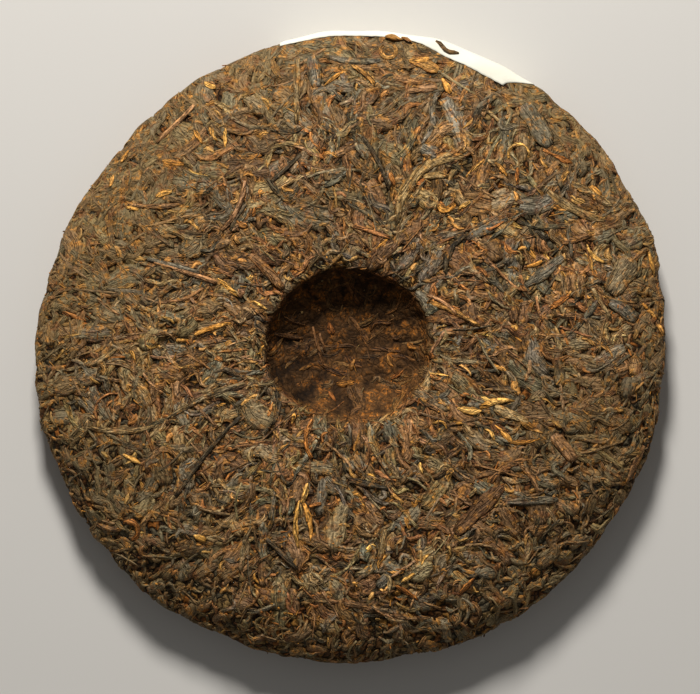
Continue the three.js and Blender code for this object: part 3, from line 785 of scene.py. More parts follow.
def size_here(x, y, front):
    """How large the strands are: smaller at the rim and towards the near edge."""
    if front:
        return SIZE_ON_FRONT
    begins, whole = RIM_ZONE
    at_rim = smoothstep(math.hypot(x, y), RIM_ARC - begins, RIM_ARC - whole)
    smaller_at_rim = SMALLER_AT_RIM * float(at_rim * smoothstep(-y, *NEAR_HALF))
    near, *nearness = SMALLER_NEAR
    far, *farness = LARGER_FAR
    larger = far * float(smoothstep(y, *farness))
    return SIZE + larger - smaller_at_rim - near * float(smoothstep(-y, *nearness))


def tint_of(colour, rng=None):
    tint = np.array(linear(COLOURS[colour]))
    if rng is None:
        return tint
    tint = lerp(tint, np.array(linear(MASS_TINT)), TINT_DRAWN_IN)
    lightness = math.exp(TINT_LIGHTNESS_SPREAD * rng.normal())
    return tint * lightness * np.exp(TINT_HUE_SPREAD * rng.normal(size=3))


def lie(x, y):
    """Which way most strands lie: out from the dimple, and in slow swirls farther off."""
    swirl = math.sin(0.05 * x + 0.02 * y + 2) + math.sin(0.055 * y - 0.025 * x + 5)
    return math.atan2(y, x) + SWIRL * swirl * float(smoothstep(math.hypot(x, y), *SWIRL_FROM))


def heading_at(distance, turn, front, rng):
    """Which way one strand lies: beside the others, any way, out of the dimple or round its lip."""
    heading = rng.uniform(0, 2 * math.pi)
    if rng.random() < ALONGSIDE:
        heading = lie(distance * math.cos(turn), distance * math.sin(turn)) + STRAY * rng.normal()
    from_middle, from_lip, stray_out = OUT_OF_DIMPLE
    near_lip, share, stray_round = ROUND_THE_LIP
    if not front and from_middle < distance < LIP_ARC + from_lip:
        heading = turn + stray_out * rng.normal()
    elif not front and abs(distance - LIP_ARC) < near_lip and rng.random() < share:
        heading = turn + math.pi / 2 + stray_round * rng.normal()
    return heading


def scattered(kind_name, count, reach, front, colours, rng):
    """Specs of strands spread evenly over an unrolled disc, along a golden-angle spiral."""
    kind = KINDS[kind_name]
    names = list(colours)
    shares = np.array([colours[name] for name in names], float)
    warmth = np.array([WARMTH[name] for name in names])
    start = 2 * math.pi * rng.random()
    smeared_to = LIP_ARC + LIP_FADE[0]
    for i in range(count):
        distance = reach * math.sqrt((i + 0.5) / count) + rng.normal() * PLACE_SPREAD
        if not front and distance < smeared_to and rng.random() < BARE_IN_DIMPLE[kind_name]:
            continue
        turn = start + i * GOLDEN_ANGLE + TURN_SPREAD * rng.normal()
        x, y = distance * math.cos(turn), distance * math.sin(turn)
        size = size_here(x, y, front)
        weights = shares * np.exp(REGION_PULL * region(x, y) * warmth)
        colour = names[rng.choice(len(names), p=weights / weights.sum())]
        yield {
            "kind": kind_name, "front": front, "x": x, "y": y,
            "heading": heading_at(distance, turn, front, rng),
            "length": size * lerp(*kind["length"], rng.beta(*LENGTH_MIX)),
            "width": size**WIDTH_GROWS * lerp(*kind["width"], rng.beta(*WIDTH_MIX)),
            "bend": math.radians(kind["bend"]) * rng.normal(),
            "colour_name": colour, "colour": tint_of(colour, rng),
        }


def placed(rows):
    """Specs of strands at their own places on the back, seen from above."""
    for kind, colour, x, y, heading, length, width, bend in rows:
        radius = math.hypot(x, y)
        stretch = arc_on_back(radius) / radius
        yield {
            "kind": kind, "front": False, "x": x * stretch, "y": y * stretch,
            "heading": math.radians(heading), "length": length, "width": width,
            "bend": math.radians(bend), "colour_name": colour, "colour": tint_of(colour),
        }


def piece_of(spec):
    if spec["kind"] in PIECES:
        return PIECES[spec["kind"]]
    return next(piece for piece, colours in FAMILIES.items() if spec["colour_name"] in colours)


def lay_all(piles):
    """Lays every strand, in a mixed order, and then the ones that stand out."""
    rng = np.random.default_rng(SEED)
    specs = []
    for kind, on_back, on_front, colours in SCATTERED:
        specs += scattered(kind, on_back, BACK_REACH, False, colours, rng)
        specs += scattered(kind, on_front, FRONT_REACH, True, colours, rng)
    late = np.array([LATE.get(spec["kind"], 0) for spec in specs])
    rank = rng.permutation(len(specs)) / len(specs) + late
    specs = [specs[i] for i in np.argsort(rank)]
    specs += [{**spec, "proud": PROUD} for spec in placed(MAIN_STRANDS)]
    strands = {}
    for spec in specs:
        strands.setdefault(piece_of(spec), []).append(lay_strand(spec, piles[spec["front"]], rng))
    for pile in piles.values():
        pile.smooth(EVEN_CELLS)
    return strands


def linked(name, data):
    """An object of the scene."""
    made = bpy.data.objects.new(name, data)
    bpy.context.scene.collection.objects.link(made)
    return made


def mesh_of(name, points, faces, material):
    """An object from points in millimetres, with smooth faces and one material."""
    mesh = bpy.data.meshes.new(name)
    mesh.from_pydata((points * MM).tolist(), [], faces)
    mesh.polygons.foreach_set("use_smooth", [True] * len(mesh.polygons))
    mesh.materials.append(material)
    return linked(name, mesh)


def paint(mesh, colours):
    """Writes a colour for each point of a mesh, with how much its patches show as the fourth part."""
    layer = mesh.color_attributes.new("tea_colour", "FLOAT_COLOR", "POINT")
    layer.data.foreach_set("color", colours.astype(np.float32).ravel())


def strand_faces(stations, ring):
    """Faces of one strand, and where their corners lie in its cell of the atlas, from 0 to 1."""
    i, j = np.meshgrid(np.arange(stations - 1), np.arange(ring), indexing="ij")
    i, j = i.ravel(), j.ravel()
    after = (j + 1) % ring
    quads = np.stack([i * ring + j, (i + 1) * ring + j, (i + 1) * ring + after, i * ring + after], 1)
    in_u = np.stack([i, i + 1, i + 1, i], 1) / (stations - 1)
    in_v = np.stack([j, j, j + 1, j + 1], 1) / ring
    ends = np.stack([np.arange(ring), (stations - 1) * ring + np.arange(ring)[::-1]])
    return quads, np.stack([in_u, in_v], -1), ends


def strand_tint(strand, arc, turn, flat, smeared):
    """The strand's colour, drawn to the mass where it is pressed smooth and to the dimple's smear, with
    the smear's painted light and shade.
    """
    in_smear = strand["colour"] * DIMPLE_TINT + SMEAR_SHARE * np.array(linear(SMEAR))
    in_smear = in_smear * lit_in_dimple(arc, turn)[:, None]
    dulled = smeared * (DULLED_IF_PROUD if strand["proud"] else 1)
    in_flat = lerp(strand["colour"], np.array(linear(MASS_TINT)), FLAT_TINT * flat[:, None])
    return lerp(in_flat, in_smear, dulled[:, None])


def drawn_to(shade, level_and_share, factor):
    """A shade drawn to a level, by a share of a factor."""
    level, share = level_and_share
    return lerp(shade, level, share * factor)


def strand_mesh(name, strands, material, piles=None, on_top_of=None):
    """One piece from all the strands of a kind, pressed into the cake or lying on a level."""
    points, colours, own, cells, faces = [], [], [], [], []
    start = 0
    side = math.ceil(math.sqrt(len(strands)))
    for index, strand in enumerate(strands):
        stations, ring = strand["heights"].shape
        places, heights = strand["places"].reshape(-1, 2), strand["heights"].ravel()
        shade = strand["shade"].ravel()
        arc, turn = on_disc(places, strand["front"])
        if on_top_of is None:
            # Painted shade in the gaps and a painted highlight on top, by how deep each point lies below
            # the leaves around
            depth = piles[strand["front"]].depth(places, heights)
            shade = shade * (SHADE_HIGH - SHADE_FALL * smoothstep(depth, *SHADE_DEPTHS))
            lift = settled(heights, arc, turn, strand["front"]) + strand["proud"]
        else:
            lift = heights + on_top_of
        smeared = in_dimple(arc, strand["front"])
        flat = flattened(arc, turn, strand["front"]) * (FLAT_IF_PROUD if strand["proud"] else 1)
        # The painted shade is drawn to an even level where the leaves are pressed smooth or smeared
        shade = drawn_to(drawn_to(shade, FLAT_SHADE, flat), SMEARED_SHADE, smeared)
        shaded = shade[:, None] ** DARK_WARMTH * strand_tint(strand, arc, turn, flat, smeared)
        patchy = lerp(1, PATCHY_WHERE_FLAT, flat) - PATCHY_LOST_IN_SMEAR * smeared
        points.append(np.column_stack([arc, turn, lift]))
        colours.append(np.column_stack([shaded, patchy]))
        quads, corners, ends = strand_faces(stations, ring)
        if strand["front"]:
            quads, corners, ends = quads[:, ::-1], corners[:, ::-1], ends[:, ::-1]
        faces.extend((quads + start).tolist())
        faces.extend((ends + start).tolist())
        own_map = (np.stack([strand["along"], strand["across"]], -1) + strand["grain"]).reshape(-1, 2)
        own.append(own_map[np.concatenate([quads.ravel(), ends.ravel()])])
        end_corners = np.stack([ends // ring / (stations - 1), ends % ring / ring], -1)
        in_cell = np.concatenate([corners.reshape(-1, 2), end_corners.reshape(-1, 2)])
        corner = np.array([index % side, index // side])
        cells.append((corner + CELL_MARGIN + (1 - 2 * CELL_MARGIN) * in_cell) / side)
        start += stations * ring
    arc, turn, lift = np.vstack(points).T
    made = mesh_of(name, skin(arc, turn, lift), faces, material)
    paint(made.data, np.vstack(colours))
    for map_name, numbers in (("strand", np.vstack(own)), ("OFBake", np.vstack(cells))):
        layer = made.data.uv_layers.new(name=map_name)
        layer.uv.foreach_set("vector", numbers.astype(np.float32).ravel())
    return made


# Materials

def fill_ramp(ramp, colours):
    """Sets a ramp's steps from names of the tea's colours and where each begins."""
    ramp.interpolation = "CONSTANT"
    for index, (colour, at) in enumerate(colours):
        stop = ramp.elements[index] if index < len(ramp.elements) else ramp.elements.new(at)
        stop.position = at
        stop.color = (*linear(COLOURS[colour]), 1)


class Nodes:
    """A tree of nodes, made one at a time."""

    def __init__(self, tree):
        self.tree = tree

    def node(self, kind, settings=None, **inputs):
        """A node with its settings, and its inputs set or linked, named with _ for a space."""
        made = self.tree.nodes.new(kind)
        for label, value in (settings or {}).items():
            setattr(made, label, value)
        for label, value in inputs.items():
            self.put(made.inputs[label.replace("_", " ")], value)
        return made

    def put(self, socket, value):
        if isinstance(value, bpy.types.NodeSocket):
            self.tree.links.new(value, socket)
        else:
            socket.default_value = value

    def math(self, operation, *values):
        made = self.node("ShaderNodeMath", {"operation": operation})
        for socket, value in zip(made.inputs, values):
            self.put(socket, value)
        return made.outputs[0]

    def scaled(self, vector, factor):
        """A vector or a colour times a value."""
        made = self.node("ShaderNodeVectorMath", {"operation": "SCALE"}, Vector=vector, Scale=factor)
        return made.outputs["Vector"]


class Maker(Nodes):
    """A material with its nodes, made a few nodes at a time."""

    def __init__(self, name, sheen=SHEEN):
        self.material = bpy.data.materials.new(name)
        self.material.use_nodes = True
        super().__init__(self.material.node_tree)
        self.shader = self.tree.nodes["Principled BSDF"]
        self.shader.inputs["Specular IOR Level"].default_value = sheen
        self.place = self.node("ShaderNodeTexCoord").outputs["Object"]

    def set(self, **values):
        """Sets or links the shader's inputs, named with _ for a space."""
        for label, value in values.items():
            self.put(self.shader.inputs[label.replace("_", " ").title()], value)

    def noise(self, scale, detail=3.0, roughness=0.55, vector=None, warp=0.0):
        made = self.node(
            "ShaderNodeTexNoise", Scale=scale, Detail=detail, Roughness=roughness, Distortion=warp,
            Vector=self.place if vector is None else vector)
        return made.outputs["Fac"]

    def warped(self, scale, reach):
        """The place moved about by a noise, by up to about a number of millimetres."""
        texture = self.node("ShaderNodeTexNoise", Scale=scale, Vector=self.place)
        moved = self.node("ShaderNodeVectorMath", {"operation": "MULTIPLY_ADD"})
        values = (texture.outputs["Color"], (reach * MM,) * 3, self.place)
        for socket, value in zip(moved.inputs, values):
            self.put(socket, value)
        return moved.outputs["Vector"]

    def cells(self, scale, feature, output, vector):
        """Cells like flakes pressed side by side: their edges, or a value for each."""
        made = self.node("ShaderNodeTexVoronoi", {"feature": feature}, Scale=scale, Vector=vector)
        return made.outputs[output]

    def ramp(self, value, colours):
        """One of the tea's colours for each stretch of a value."""
        made = self.node("ShaderNodeValToRGB", Fac=value)
        fill_ramp(made.color_ramp, colours)
        return made.outputs["Color"]

    def ranged(self, value, low, high, from_low=0.3, from_high=0.7):
        """A value moved from one range to another, and held there."""
        moved = self.node(
            "ShaderNodeMapRange", Value=value, From_Min=from_low, From_Max=from_high,
            To_Min=low, To_Max=high)
        return moved.outputs["Result"]

    def mixed(self, factor, first, second):
        """Two colours mixed by a value. Either may be a plain colour."""
        made = self.node("ShaderNodeMix", {"data_type": "RGBA"})
        self.put(made.inputs[0], factor)
        for socket, value in ((made.inputs[6], first), (made.inputs[7], second)):
            self.put(socket, (*value, 1) if isinstance(value, tuple) else value)
        return made.outputs[2]

    def softened(self, factor, share):
        """A factor moved towards 1, all the way where the share is 0."""
        made = self.node("ShaderNodeMix", {"data_type": "FLOAT"})
        for index, value in ((0, share), (2, 1.0), (3, factor)):
            self.put(made.inputs[index], value)
        return made.outputs[0]

    def channel(self, colour):
        """The red part of a colour, as a value."""
        return self.node("ShaderNodeSeparateColor", Color=colour).outputs["Red"]

    def bumped(self, height, distance, strength=1.0, under=None):
        """A bump of a depth in millimetres, over another one."""
        made = self.node("ShaderNodeBump", Distance=distance * MM, Strength=strength, Height=height)
        if under is not None:
            self.put(made.inputs["Normal"], under)
        return made.outputs["Normal"]

    def attribute(self, name, output="Color"):
        return self.node("ShaderNodeAttribute", {"attribute_name": name}).outputs[output]

    def contour(self, value):
        """How far a value is from the middle of its range: 0 along winding lines."""
        return self.math("ABSOLUTE", self.math("SUBTRACT", value, 0.5))

    def along_strand(self, along, across):
        """The strand's own map, drawn out along it."""
        own_map = self.node("ShaderNodeUVMap", {"uv_map": "strand"}).outputs["UV"]
        return self.node("ShaderNodeMapping", Scale=(along, across, 1), Vector=own_map).outputs["Vector"]


def leaf_material(name, lines, mottle, roughness, wrinkle):
    """Dry tea leaf: wrinkles along the strand with painted shade in their valleys and creases and
    painted highlights on their ridges, golden and red patches, fine dust.
    """
    make = Maker(name)
    streaks = make.noise(1.0, 4.0, 0.62, make.along_strand(0.3, 1.25), 0.4)
    fine = make.noise(1.0, 2.0, 0.5, make.along_strand(0.6, 2.4), 0.4)
    creases = make.contour(make.noise(1.0, 2.0, 0.5, make.along_strand(0.13, 0.6), 0.8))
    patches = make.noise(BLOTCHES, 4.0, 0.65)
    warm = make.noise(WARM_PATCHES, 3.0, 0.6)
    specks = make.noise(SPECKS, 2.0, 0.6)
    colour = make.attribute("tea_colour")
    patchy = make.attribute("tea_colour", "Alpha")
    golden = make.math("MULTIPLY", make.ranged(patches, 0, mottle, 0.53, 0.64), patchy)
    reddish = make.math("MULTIPLY", make.ranged(warm, 0, 0.7 * mottle, 0.54, 0.66), patchy)
    colour = make.mixed(golden, colour, linear(GOLDEN_PATCH))
    colour = make.mixed(reddish, colour, linear(RED_PATCH))
    # Painted shade in the wrinkles' valleys and the creases, painted highlights on their ridges, and
    # specks
    factors = (
        make.ranged(streaks, 1 - lines, 1.05 + 0.6 * lines, 0.4, 0.58),
        make.ranged(fine, 1 - 0.9 * lines, 1 + 0.7 * lines, 0.38, 0.62),
        make.ranged(specks, 0.5, 1.65),
        make.ranged(creases, 1 - 1.9 * lines, 1.25, 0.005, 0.055),
    )
    sharpness = make.ranged(patchy, 1.0, 0.5, 1.0, PATCHY_WHERE_FLAT)
    for factor in factors:
        colour = make.scaled(colour, make.softened(factor, sharpness))
    normal = make.bumped(streaks, wrinkle)
    normal = make.bumped(make.ranged(creases, 0.0, 1.0, 0.0, 0.08), 0.3, 1.0, normal)
    normal = make.bumped(fine, 0.5 * wrinkle, 1.0, normal)
    normal = make.bumped(specks, 0.14, 0.9, normal)
    make.set(base_color=colour, normal=normal,
             roughness=make.ranged(patches, roughness - 0.1, roughness + 0.15))
    return make.material


def crumb_material():
    """Broken leaf, each crumb in its own colour."""
    make = Maker("leaf_crumb")
    specks = make.noise(SPECKS, 2.0, 0.6)
    colour = make.scaled(make.attribute("tea_colour"), make.ranged(specks, 0.6, 1.45))
    make.set(base_color=colour, roughness=0.75, normal=make.bumped(specks, 0.15))
    return make.material


def core_material():
    """Crumbled leaf pressed into one mass, smeared smooth, dark and reddish in the dimple, with painted
    shade in the cracks between its flakes and in the dimple's creases, and painted light and shade
    across the dimple.
    """
    make = Maker("crumbled_tea", CORE_SHEEN)
    drawn = make.warped(CRUMPLES, 5.0)
    edges = make.cells(FLAKES, "DISTANCE_TO_EDGE", "Distance", drawn)
    colour = make.ramp(make.channel(make.cells(FLAKES, "F1", "Color", drawn)), MASS_COLOURS)
    grains = make.noise(GRAINS, 4.0, 0.68, warp=0.5)
    clouds = make.noise(CLOUDS)
    # Painted shade in the cracks between the flakes
    colour = make.scaled(colour, make.ranged(edges, 0.1, 1.0, 0.02, 0.2))
    colour = make.scaled(colour, make.ranged(grains, 0.25, 1.7))
    colour = make.scaled(colour, make.ranged(clouds, 0.55, 1.0))

    blotches = make.noise(BLOTCHES, 6.0, 0.75, warp=1.5)
    dark = make.noise(SMEARS, 3.0, 0.6)
    rusty = make.ranged(blotches, 0, 1, 0.5, 0.6)
    rusty = make.math("MULTIPLY", rusty, make.ranged(dark, 0.05, 1, 0.45, 0.57))
    smear = make.mixed(rusty, linear(SMEAR), linear(RUSTY_BLOTCH))
    smear = make.scaled(smear, make.ranged(dark, 0.5, 1.1, 0.36, 0.56))
    smear = make.scaled(smear, make.ranged(grains, 0.4, 1.6))
    # Painted shade in the cracks and the creases, and painted light and shade across the dimple
    smear = make.scaled(smear, make.ranged(edges, 0.5, 1.05, 0.0, 0.12))
    smear = make.scaled(smear, make.ranged(make.attribute("crease"), 1.0, 0.3, 0.1, 0.8))
    smear = make.scaled(smear, make.attribute("lit"))
    smeared = make.attribute("smeared")
    colour = make.mixed(smeared, colour, smear)
    height = make.ranged(edges, 0.0, 1.0, 0.0, 0.3)
    normal = make.bumped(height, 0.5, make.ranged(smeared, 0.9, 0.5, 0, 1))
    normal = make.bumped(grains, 0.35, 0.8, normal)
    make.set(base_color=colour, roughness=0.8, normal=normal)
    return make.material


def paper_material():
    """Thin white paper with faint fibres."""
    make = Maker("thin_paper")
    dull, bright = map(linear, PAPER_WHITES)
    colour = make.mixed(make.ranged(make.noise(PAPER_CLOUDS, 2.0), 0, 1), dull, bright)
    fibres = make.bumped(make.noise(FIBRES, 5.0, 0.7), 0.05, 0.5)
    make.set(base_color=colour, roughness=0.9, normal=fibres)
    return make.material


def floor_material():
    make = Maker("pale_floor")
    dull, bright = map(linear, FLOOR_GREYS)
    make.set(base_color=make.mixed(make.noise(3), dull, bright), roughness=0.85)
    return make.material


# Geometry Nodes

class Tree(Nodes):
    """A Geometry Nodes tree with named inputs."""

    def __init__(self, name, inputs):
        super().__init__(bpy.data.node_groups.new(name, "GeometryNodeTree"))
        face = self.tree.interface
        face.new_socket("Geometry", in_out="INPUT", socket_type="NodeSocketGeometry")
        for label, kind in inputs.items():
            face.new_socket(label, in_out="INPUT", socket_type=f"NodeSocket{kind}")
        face.new_socket("Geometry", in_out="OUTPUT", socket_type="NodeSocketGeometry")
        self.given = self.node("NodeGroupInput").outputs

    def stored(self, name):
        """A value that the mesh has at each point."""
        return self.node("GeometryNodeInputNamedAttribute", {"data_type": "FLOAT"}, Name=name).outputs[0]

    def random(self, kind, low, high, seed):
        made = self.node("FunctionNodeRandomValue", {"data_type": kind})
        sockets = [socket for socket in made.inputs if socket.enabled]
        self.put(sockets[0], low)
        self.put(sockets[1], high)
        self.put(made.inputs["Seed"], seed)
        return next(socket for socket in made.outputs if socket.enabled)

    def end(self, geometry):
        """Realizes the instances and gives the material."""
        whole = self.node("GeometryNodeRealizeInstances", Geometry=geometry)
        finish = self.node(
            "GeometryNodeSetMaterial", Geometry=whole.outputs[0], Material=self.given["Material"])
        self.node("NodeGroupOutput", Geometry=finish.outputs[0])

    def run(self, base, **values):
        """Runs the tree on an object, and leaves a plain mesh."""
        modifier = base.modifiers.new(self.tree.name, "NODES")
        modifier.node_group = self.tree
        sockets = self.tree.interface.items_tree
        names = {item.name: item.identifier for item in sockets if item.in_out == "INPUT"}
        for label, value in values.items():
            modifier[names[label.replace("_", " ")]] = value
        base.update_tag()
        graph = bpy.context.evaluated_depsgraph_get()
        mesh = bpy.data.meshes.new_from_object(base.evaluated_get(graph))
        mesh.name = base.name
        base.modifiers.clear()
        base.data = mesh
        return base


def relief_tree():
    """Raises lumps of crumbled leaf on a surface."""
    tree = Tree("crumbled_relief", {"Depth": "Float", "Lump Size": "Float", "Material": "Material"})
    frequency = tree.math("DIVIDE", 1.0, tree.given["Lump Size"])
    lumpy = tree.node("ShaderNodeTexNoise", Scale=frequency, Detail=3.0, Roughness=0.6)
    centred = tree.math("SUBTRACT", lumpy.outputs[0], 0.55)
    raised = tree.math("MULTIPLY", centred, tree.given["Depth"])
    raised = tree.math("MULTIPLY", raised, tree.stored("loose"))
    outward = tree.scaled(tree.node("GeometryNodeInputNormal").outputs[0], raised)
    moved = tree.node("GeometryNodeSetPosition", Geometry=tree.given["Geometry"], Offset=outward)
    tree.end(tree.node("GeometryNodeSetShadeSmooth", Geometry=moved.outputs[0]).outputs[0])
    return tree


def crumb_tree():
    """Scatters flat flakes and short bits of stem over a surface."""
    tree = Tree("leaf_crumbs", {
        "Density": "Float", "Flake Size": "Float", "Stick Length": "Float", "Stick Share": "Float",
        "Seed": "Int", "Material": "Material",
    })
    density = tree.math("MULTIPLY", tree.stored("crumbly"), tree.given["Density"])
    spread = tree.node(
        "GeometryNodeDistributePointsOnFaces", Mesh=tree.given["Geometry"], Density=density,
        Seed=tree.given["Seed"])
    flake = tree.node("GeometryNodeMeshIcoSphere", Radius=tree.given["Flake Size"], Subdivisions=1)
    stick = tree.node(
        "GeometryNodeMeshCylinder", Vertices=5, Side_Segments=2, Depth=tree.given["Stick Length"])
    tree.put(stick.inputs["Radius"], tree.math("MULTIPLY", tree.given["Flake Size"], STICK_RADIUS))
    laid = tree.node("GeometryNodeTransform", Geometry=stick.outputs[0], Rotation=(0, math.pi / 2, 0))
    kinds = tree.node("GeometryNodeGeometryToInstance")
    for kind in (laid, flake):
        tree.put(kinds.inputs[0], kind.outputs[0])
    low_turn, high_turn = (-CRUMB_TILT, -CRUMB_TILT, 0), (CRUMB_TILT, CRUMB_TILT, 2 * math.pi)
    turned = tree.node(
        "FunctionNodeRotateRotation", {"rotation_space": "LOCAL"}, Rotation=spread.outputs["Rotation"],
        Rotate_By=tree.random("FLOAT_VECTOR", low_turn, high_turn, 2))
    is_stick = tree.math("LESS_THAN", tree.random("FLOAT", 0.0, 1.0, 3), tree.given["Stick Share"])
    placed = tree.node(
        "GeometryNodeInstanceOnPoints", Points=spread.outputs["Points"], Instance=kinds.outputs[0],
        Pick_Instance=True, Instance_Index=is_stick, Rotation=turned.outputs[0],
        Scale=tree.random("FLOAT_VECTOR", *CRUMB_SCALES, 4))
    ramp = tree.node("ShaderNodeValToRGB", Fac=tree.random("FLOAT", 0.0, 1.0, 5))
    fill_ramp(ramp.color_ramp, CRUMB_COLOURS)
    coloured = tree.node(
        "GeometryNodeStoreNamedAttribute", {"data_type": "FLOAT_COLOR", "domain": "INSTANCE"},
        Geometry=placed.outputs[0], Name="tea_colour")
    values = [socket for socket in coloured.inputs if socket.name == "Value" and socket.enabled]
    tree.put(values[0], ramp.outputs[0])
    tree.end(coloured.outputs[0])
    return tree


# The core, with the relief of crumbled leaf

def core_base():
    """A ball of even triangles, spread over the skin by area."""
    ball = bmesh.new()
    bmesh.ops.create_icosphere(ball, subdivisions=CORE_DETAIL, radius=1)
    mesh = bpy.data.meshes.new("ball")
    ball.to_mesh(mesh)
    ball.free()
    points = np.empty(len(mesh.vertices) * 3, np.float32)
    mesh.vertices.foreach_get("co", points)
    points = points.reshape(-1, 3).astype(float)
    area = np.concatenate([[0], np.cumsum(SECTION[1:, 0] + SECTION[:-1, 0])])
    arc = np.interp((1 - points[:, 2]) / 2, area / area[-1], ARC)
    turn = np.arctan2(points[:, 1], points[:, 0])
    smeared = in_dimple(arc, False)
    covered = under_paper(arc, turn)
    lift = lerp(lerp(CORE_LIFT, CORE_LIFT_IN_DIMPLE, smeared), CORE_LIFT_UNDER_PAPER, covered)
    mesh.vertices.foreach_set("co", (skin(arc, turn, lift) * MM).astype(np.float32).ravel())
    loose = (1 - CORE_SMOOTHER["dimple"] * smeared) * (1 - CORE_SMOOTHER["paper"] * covered)
    # lit carries the painted light and shade across the dimple, crease the painted shade in its creases
    layers = {
        "loose": loose, "smeared": smeared, "crease": crease(arc, turn), "lit": lit_in_dimple(arc, turn),
    }
    for label, values in layers.items():
        layer = mesh.attributes.new(label, "FLOAT", "POINT")
        layer.data.foreach_set("value", values.astype(np.float32))
    return linked("tea_core", mesh)


def make_core():
    core = relief_tree().run(
        core_base(), Depth=CORE_RELIEF * MM, Lump_Size=CORE_LUMP * MM, Material=core_material())
    points = np.empty(len(core.data.vertices) * 3, np.float32)
    core.data.vertices.foreach_get("co", points)
    points[2::3] = np.maximum(points[2::3], LOWEST * MM)
    core.data.vertices.foreach_set("co", points)
    return core


def make_crumbs(piles):
    """Crumbs on top of the leaves and in the gaps between them."""
    tree = crumb_tree()
    made = []
    for front, reach in ((False, BACK_REACH), (True, FRONT_REACH)):
        reaches = np.linspace(1, reach - 2, round(reach / CRUMB_BED_CELL))
        turns = np.linspace(0, 2 * math.pi, round(2 * math.pi * reach / CRUMB_BED_CELL), endpoint=False)
        distance, turn = np.meshgrid(reaches, turns, indexing="ij")
        places = np.stack([distance * np.cos(turn), distance * np.sin(turn)], -1)
        arc = on_disc(places, front)[0]
        lift = settled(piles[front].under(places), arc, turn, front) + CRUMB_LIFT
        rows, row = distance.shape
        first = (np.arange(rows - 1)[:, None] * row + np.arange(row)).ravel()
        second = (np.arange(rows - 1)[:, None] * row + (np.arange(row) + 1) % row).ravel()
        faces = np.stack([first, first + row, second + row, second], 1)
        if front:
            faces = faces[:, ::-1]
        bed = mesh_of("leaf_crumbs", skin(arc, turn, lift).reshape(-1, 3), faces.tolist(), None)
        bare = (1 - under_paper(arc, turn)) * (1 - CRUMBS_OUT_OF_DIMPLE * in_dimple(arc, front))
        crumbly = bare * (0.5 + smoothstep(region(places[..., 0], places[..., 1]), -0.5, 1))
        crumbly = crumbly * (CRUMBS_ON_FRONT if front else 1)
        weights = bed.data.attributes.new("crumbly", "FLOAT", "POINT")
        weights.data.foreach_set("value", crumbly.astype(np.float32).ravel())
        made.append(tree.run(
            bed, Density=CRUMB_DENSITY / MM**2, Flake_Size=CRUMB_SIZE * MM,
            Stick_Length=STICK_LENGTH * MM, Stick_Share=STICK_SHARE, Seed=SEED + front,
            Material=crumb_material()))
    return joined(made)


def joined(objects):
    """One object from several."""
    with bpy.context.temp_override(active_object=objects[0], selected_editable_objects=objects):
        bpy.ops.object.join()
    return objects[0]


# The slip of paper

def make_paper():
    """A thin sheet over the rim, closed at its edges."""
    along_cells, down_cells = PAPER_CELLS
    along, down = np.meshgrid(np.linspace(0, 1, along_cells + 1), np.linspace(0, 1, down_cells + 1))
    right = PAPER_RIGHT - PAPER_SLANT * smoothstep(down, 0, PAPER_SLANTS_TO)
    turn = lerp(right, PAPER_LEFT, along)
    ragged = PAPER_RAGGED * np.sin(190 * turn) * np.sin(61 * turn + 1)
    arc = RIM_ARC + lerp(-paper_reach(along) - ragged, PAPER_REACH_FRONT, down)
    slack = PAPER_SLACK * np.sin(23 * turn + 0.35 * arc) * np.sin(0.3 * arc)
    dip, soon = PAPER_DIP
    from_sides = np.minimum(turn - right, PAPER_LEFT - turn) * CAKE_RADIUS
    lift = PAPER_LIFT + slack - dip * np.exp(-np.minimum(arc - arc[0], from_sides) / soon)
    sheets = [skin(arc, turn, lift + extra).reshape(-1, 3) for extra in (0, PAPER_THICKNESS)]
    row = along_cells + 1
    count = row * (down_cells + 1)
    i, j = np.meshgrid(np.arange(along_cells), np.arange(down_cells))
    first = (j * row + i).ravel()
    low = np.stack([first, first + 1, first + row + 1, first + row], 1)
    high = low[:, ::-1] + count
    edge = np.concatenate([
        np.arange(along_cells),
        along_cells + row * np.arange(down_cells),
        count - 1 - np.arange(along_cells),
        (count - row) - row * np.arange(down_cells),
    ])
    after = np.roll(edge, -1)
    wall = np.stack([edge, edge + count, after + count, after], 1)
    faces = np.vstack([low, high, wall]).tolist()
    return mesh_of("paper_sheet", np.vstack(sheets), faces, paper_material())


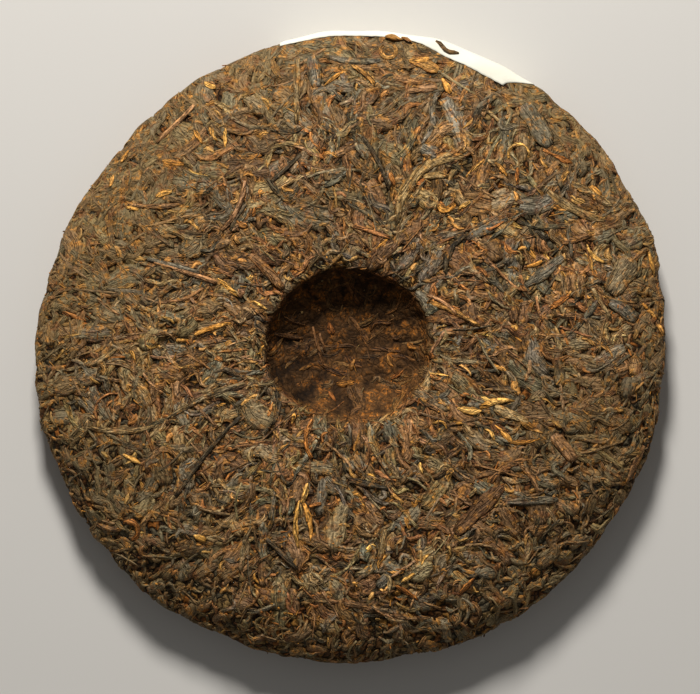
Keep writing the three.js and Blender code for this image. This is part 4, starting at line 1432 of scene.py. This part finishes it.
def make_bits_on_paper(material):
    """A dark shred and a few bits of leaf that lie on the slip."""
    rng = np.random.default_rng(SEED + 1)
    flat = Pile(BACK_REACH)
    strands = [lay_strand(spec, flat, rng) for spec in placed(BITS_ON_PAPER)]
    level = PAPER_LIFT + PAPER_THICKNESS + BITS_OVER_PAPER
    return strand_mesh("shred_on_paper", strands, material, on_top_of=level)


# Stage

def make_stage():
    """Pale floor, soft light from beyond the paper's edge, and a camera straight above."""
    bpy.ops.mesh.primitive_plane_add(size=FLOOR_SIZE)
    floor = bpy.context.active_object
    floor.name = "floor"
    floor.data.materials.append(floor_material())

    world = bpy.data.worlds.new("studio")
    bpy.context.scene.world = world
    world.use_nodes = True
    background = world.node_tree.nodes["Background"]
    background.inputs["Color"].default_value = WORLD_COLOUR
    background.inputs["Strength"].default_value = WORLD_LIGHT
    for name, size, power, place in LIGHTS:
        lamp = bpy.data.lights.new(name, "AREA")
        lamp.size = size
        lamp.energy = power
        lamp.color = LAMP_COLOUR
        made = linked(name, lamp)
        made.location = place
        made.rotation_euler = made.location.to_track_quat("Z", "Y").to_euler()

    camera = bpy.data.cameras.new("camera")
    camera.sensor_width = SENSOR_WIDTH
    made = linked("camera", camera)
    made.location = (VIEW_MIDDLE[0] * MM, VIEW_MIDDLE[1] * MM, CAMERA_HEIGHT)
    camera.lens = camera.sensor_width * (CAMERA_HEIGHT - RIM_LEVEL * MM) / (VIEW_WIDTH * MM)
    bpy.context.scene.camera = made
    bpy.context.scene.view_settings.view_transform = "Standard"


piles = {False: Pile(BACK_REACH), True: Pile(FRONT_REACH)}
core = make_core()
paper = make_paper()
materials = {name: leaf_material(*finish) for name, finish in FINISHES.items()}
slots = {"golden_tips": "golden_tip", "stems": "leaf_stem"}
leaves = {
    name: strand_mesh(name, strands, materials[name], piles)
    for name, strands in lay_all(piles).items()
}
leaves["shred_on_paper"] = make_bits_on_paper(materials["dark_leaves"])
leaves["leaf_crumbs"] = make_crumbs(piles)
make_stage()

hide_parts("tea_cake")
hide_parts("paper_slip")
for name, piece in leaves.items():
    slots.get(name, "pressed_leaf")
for piece in (core, paper, *leaves.values()):
    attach(piece, "root")
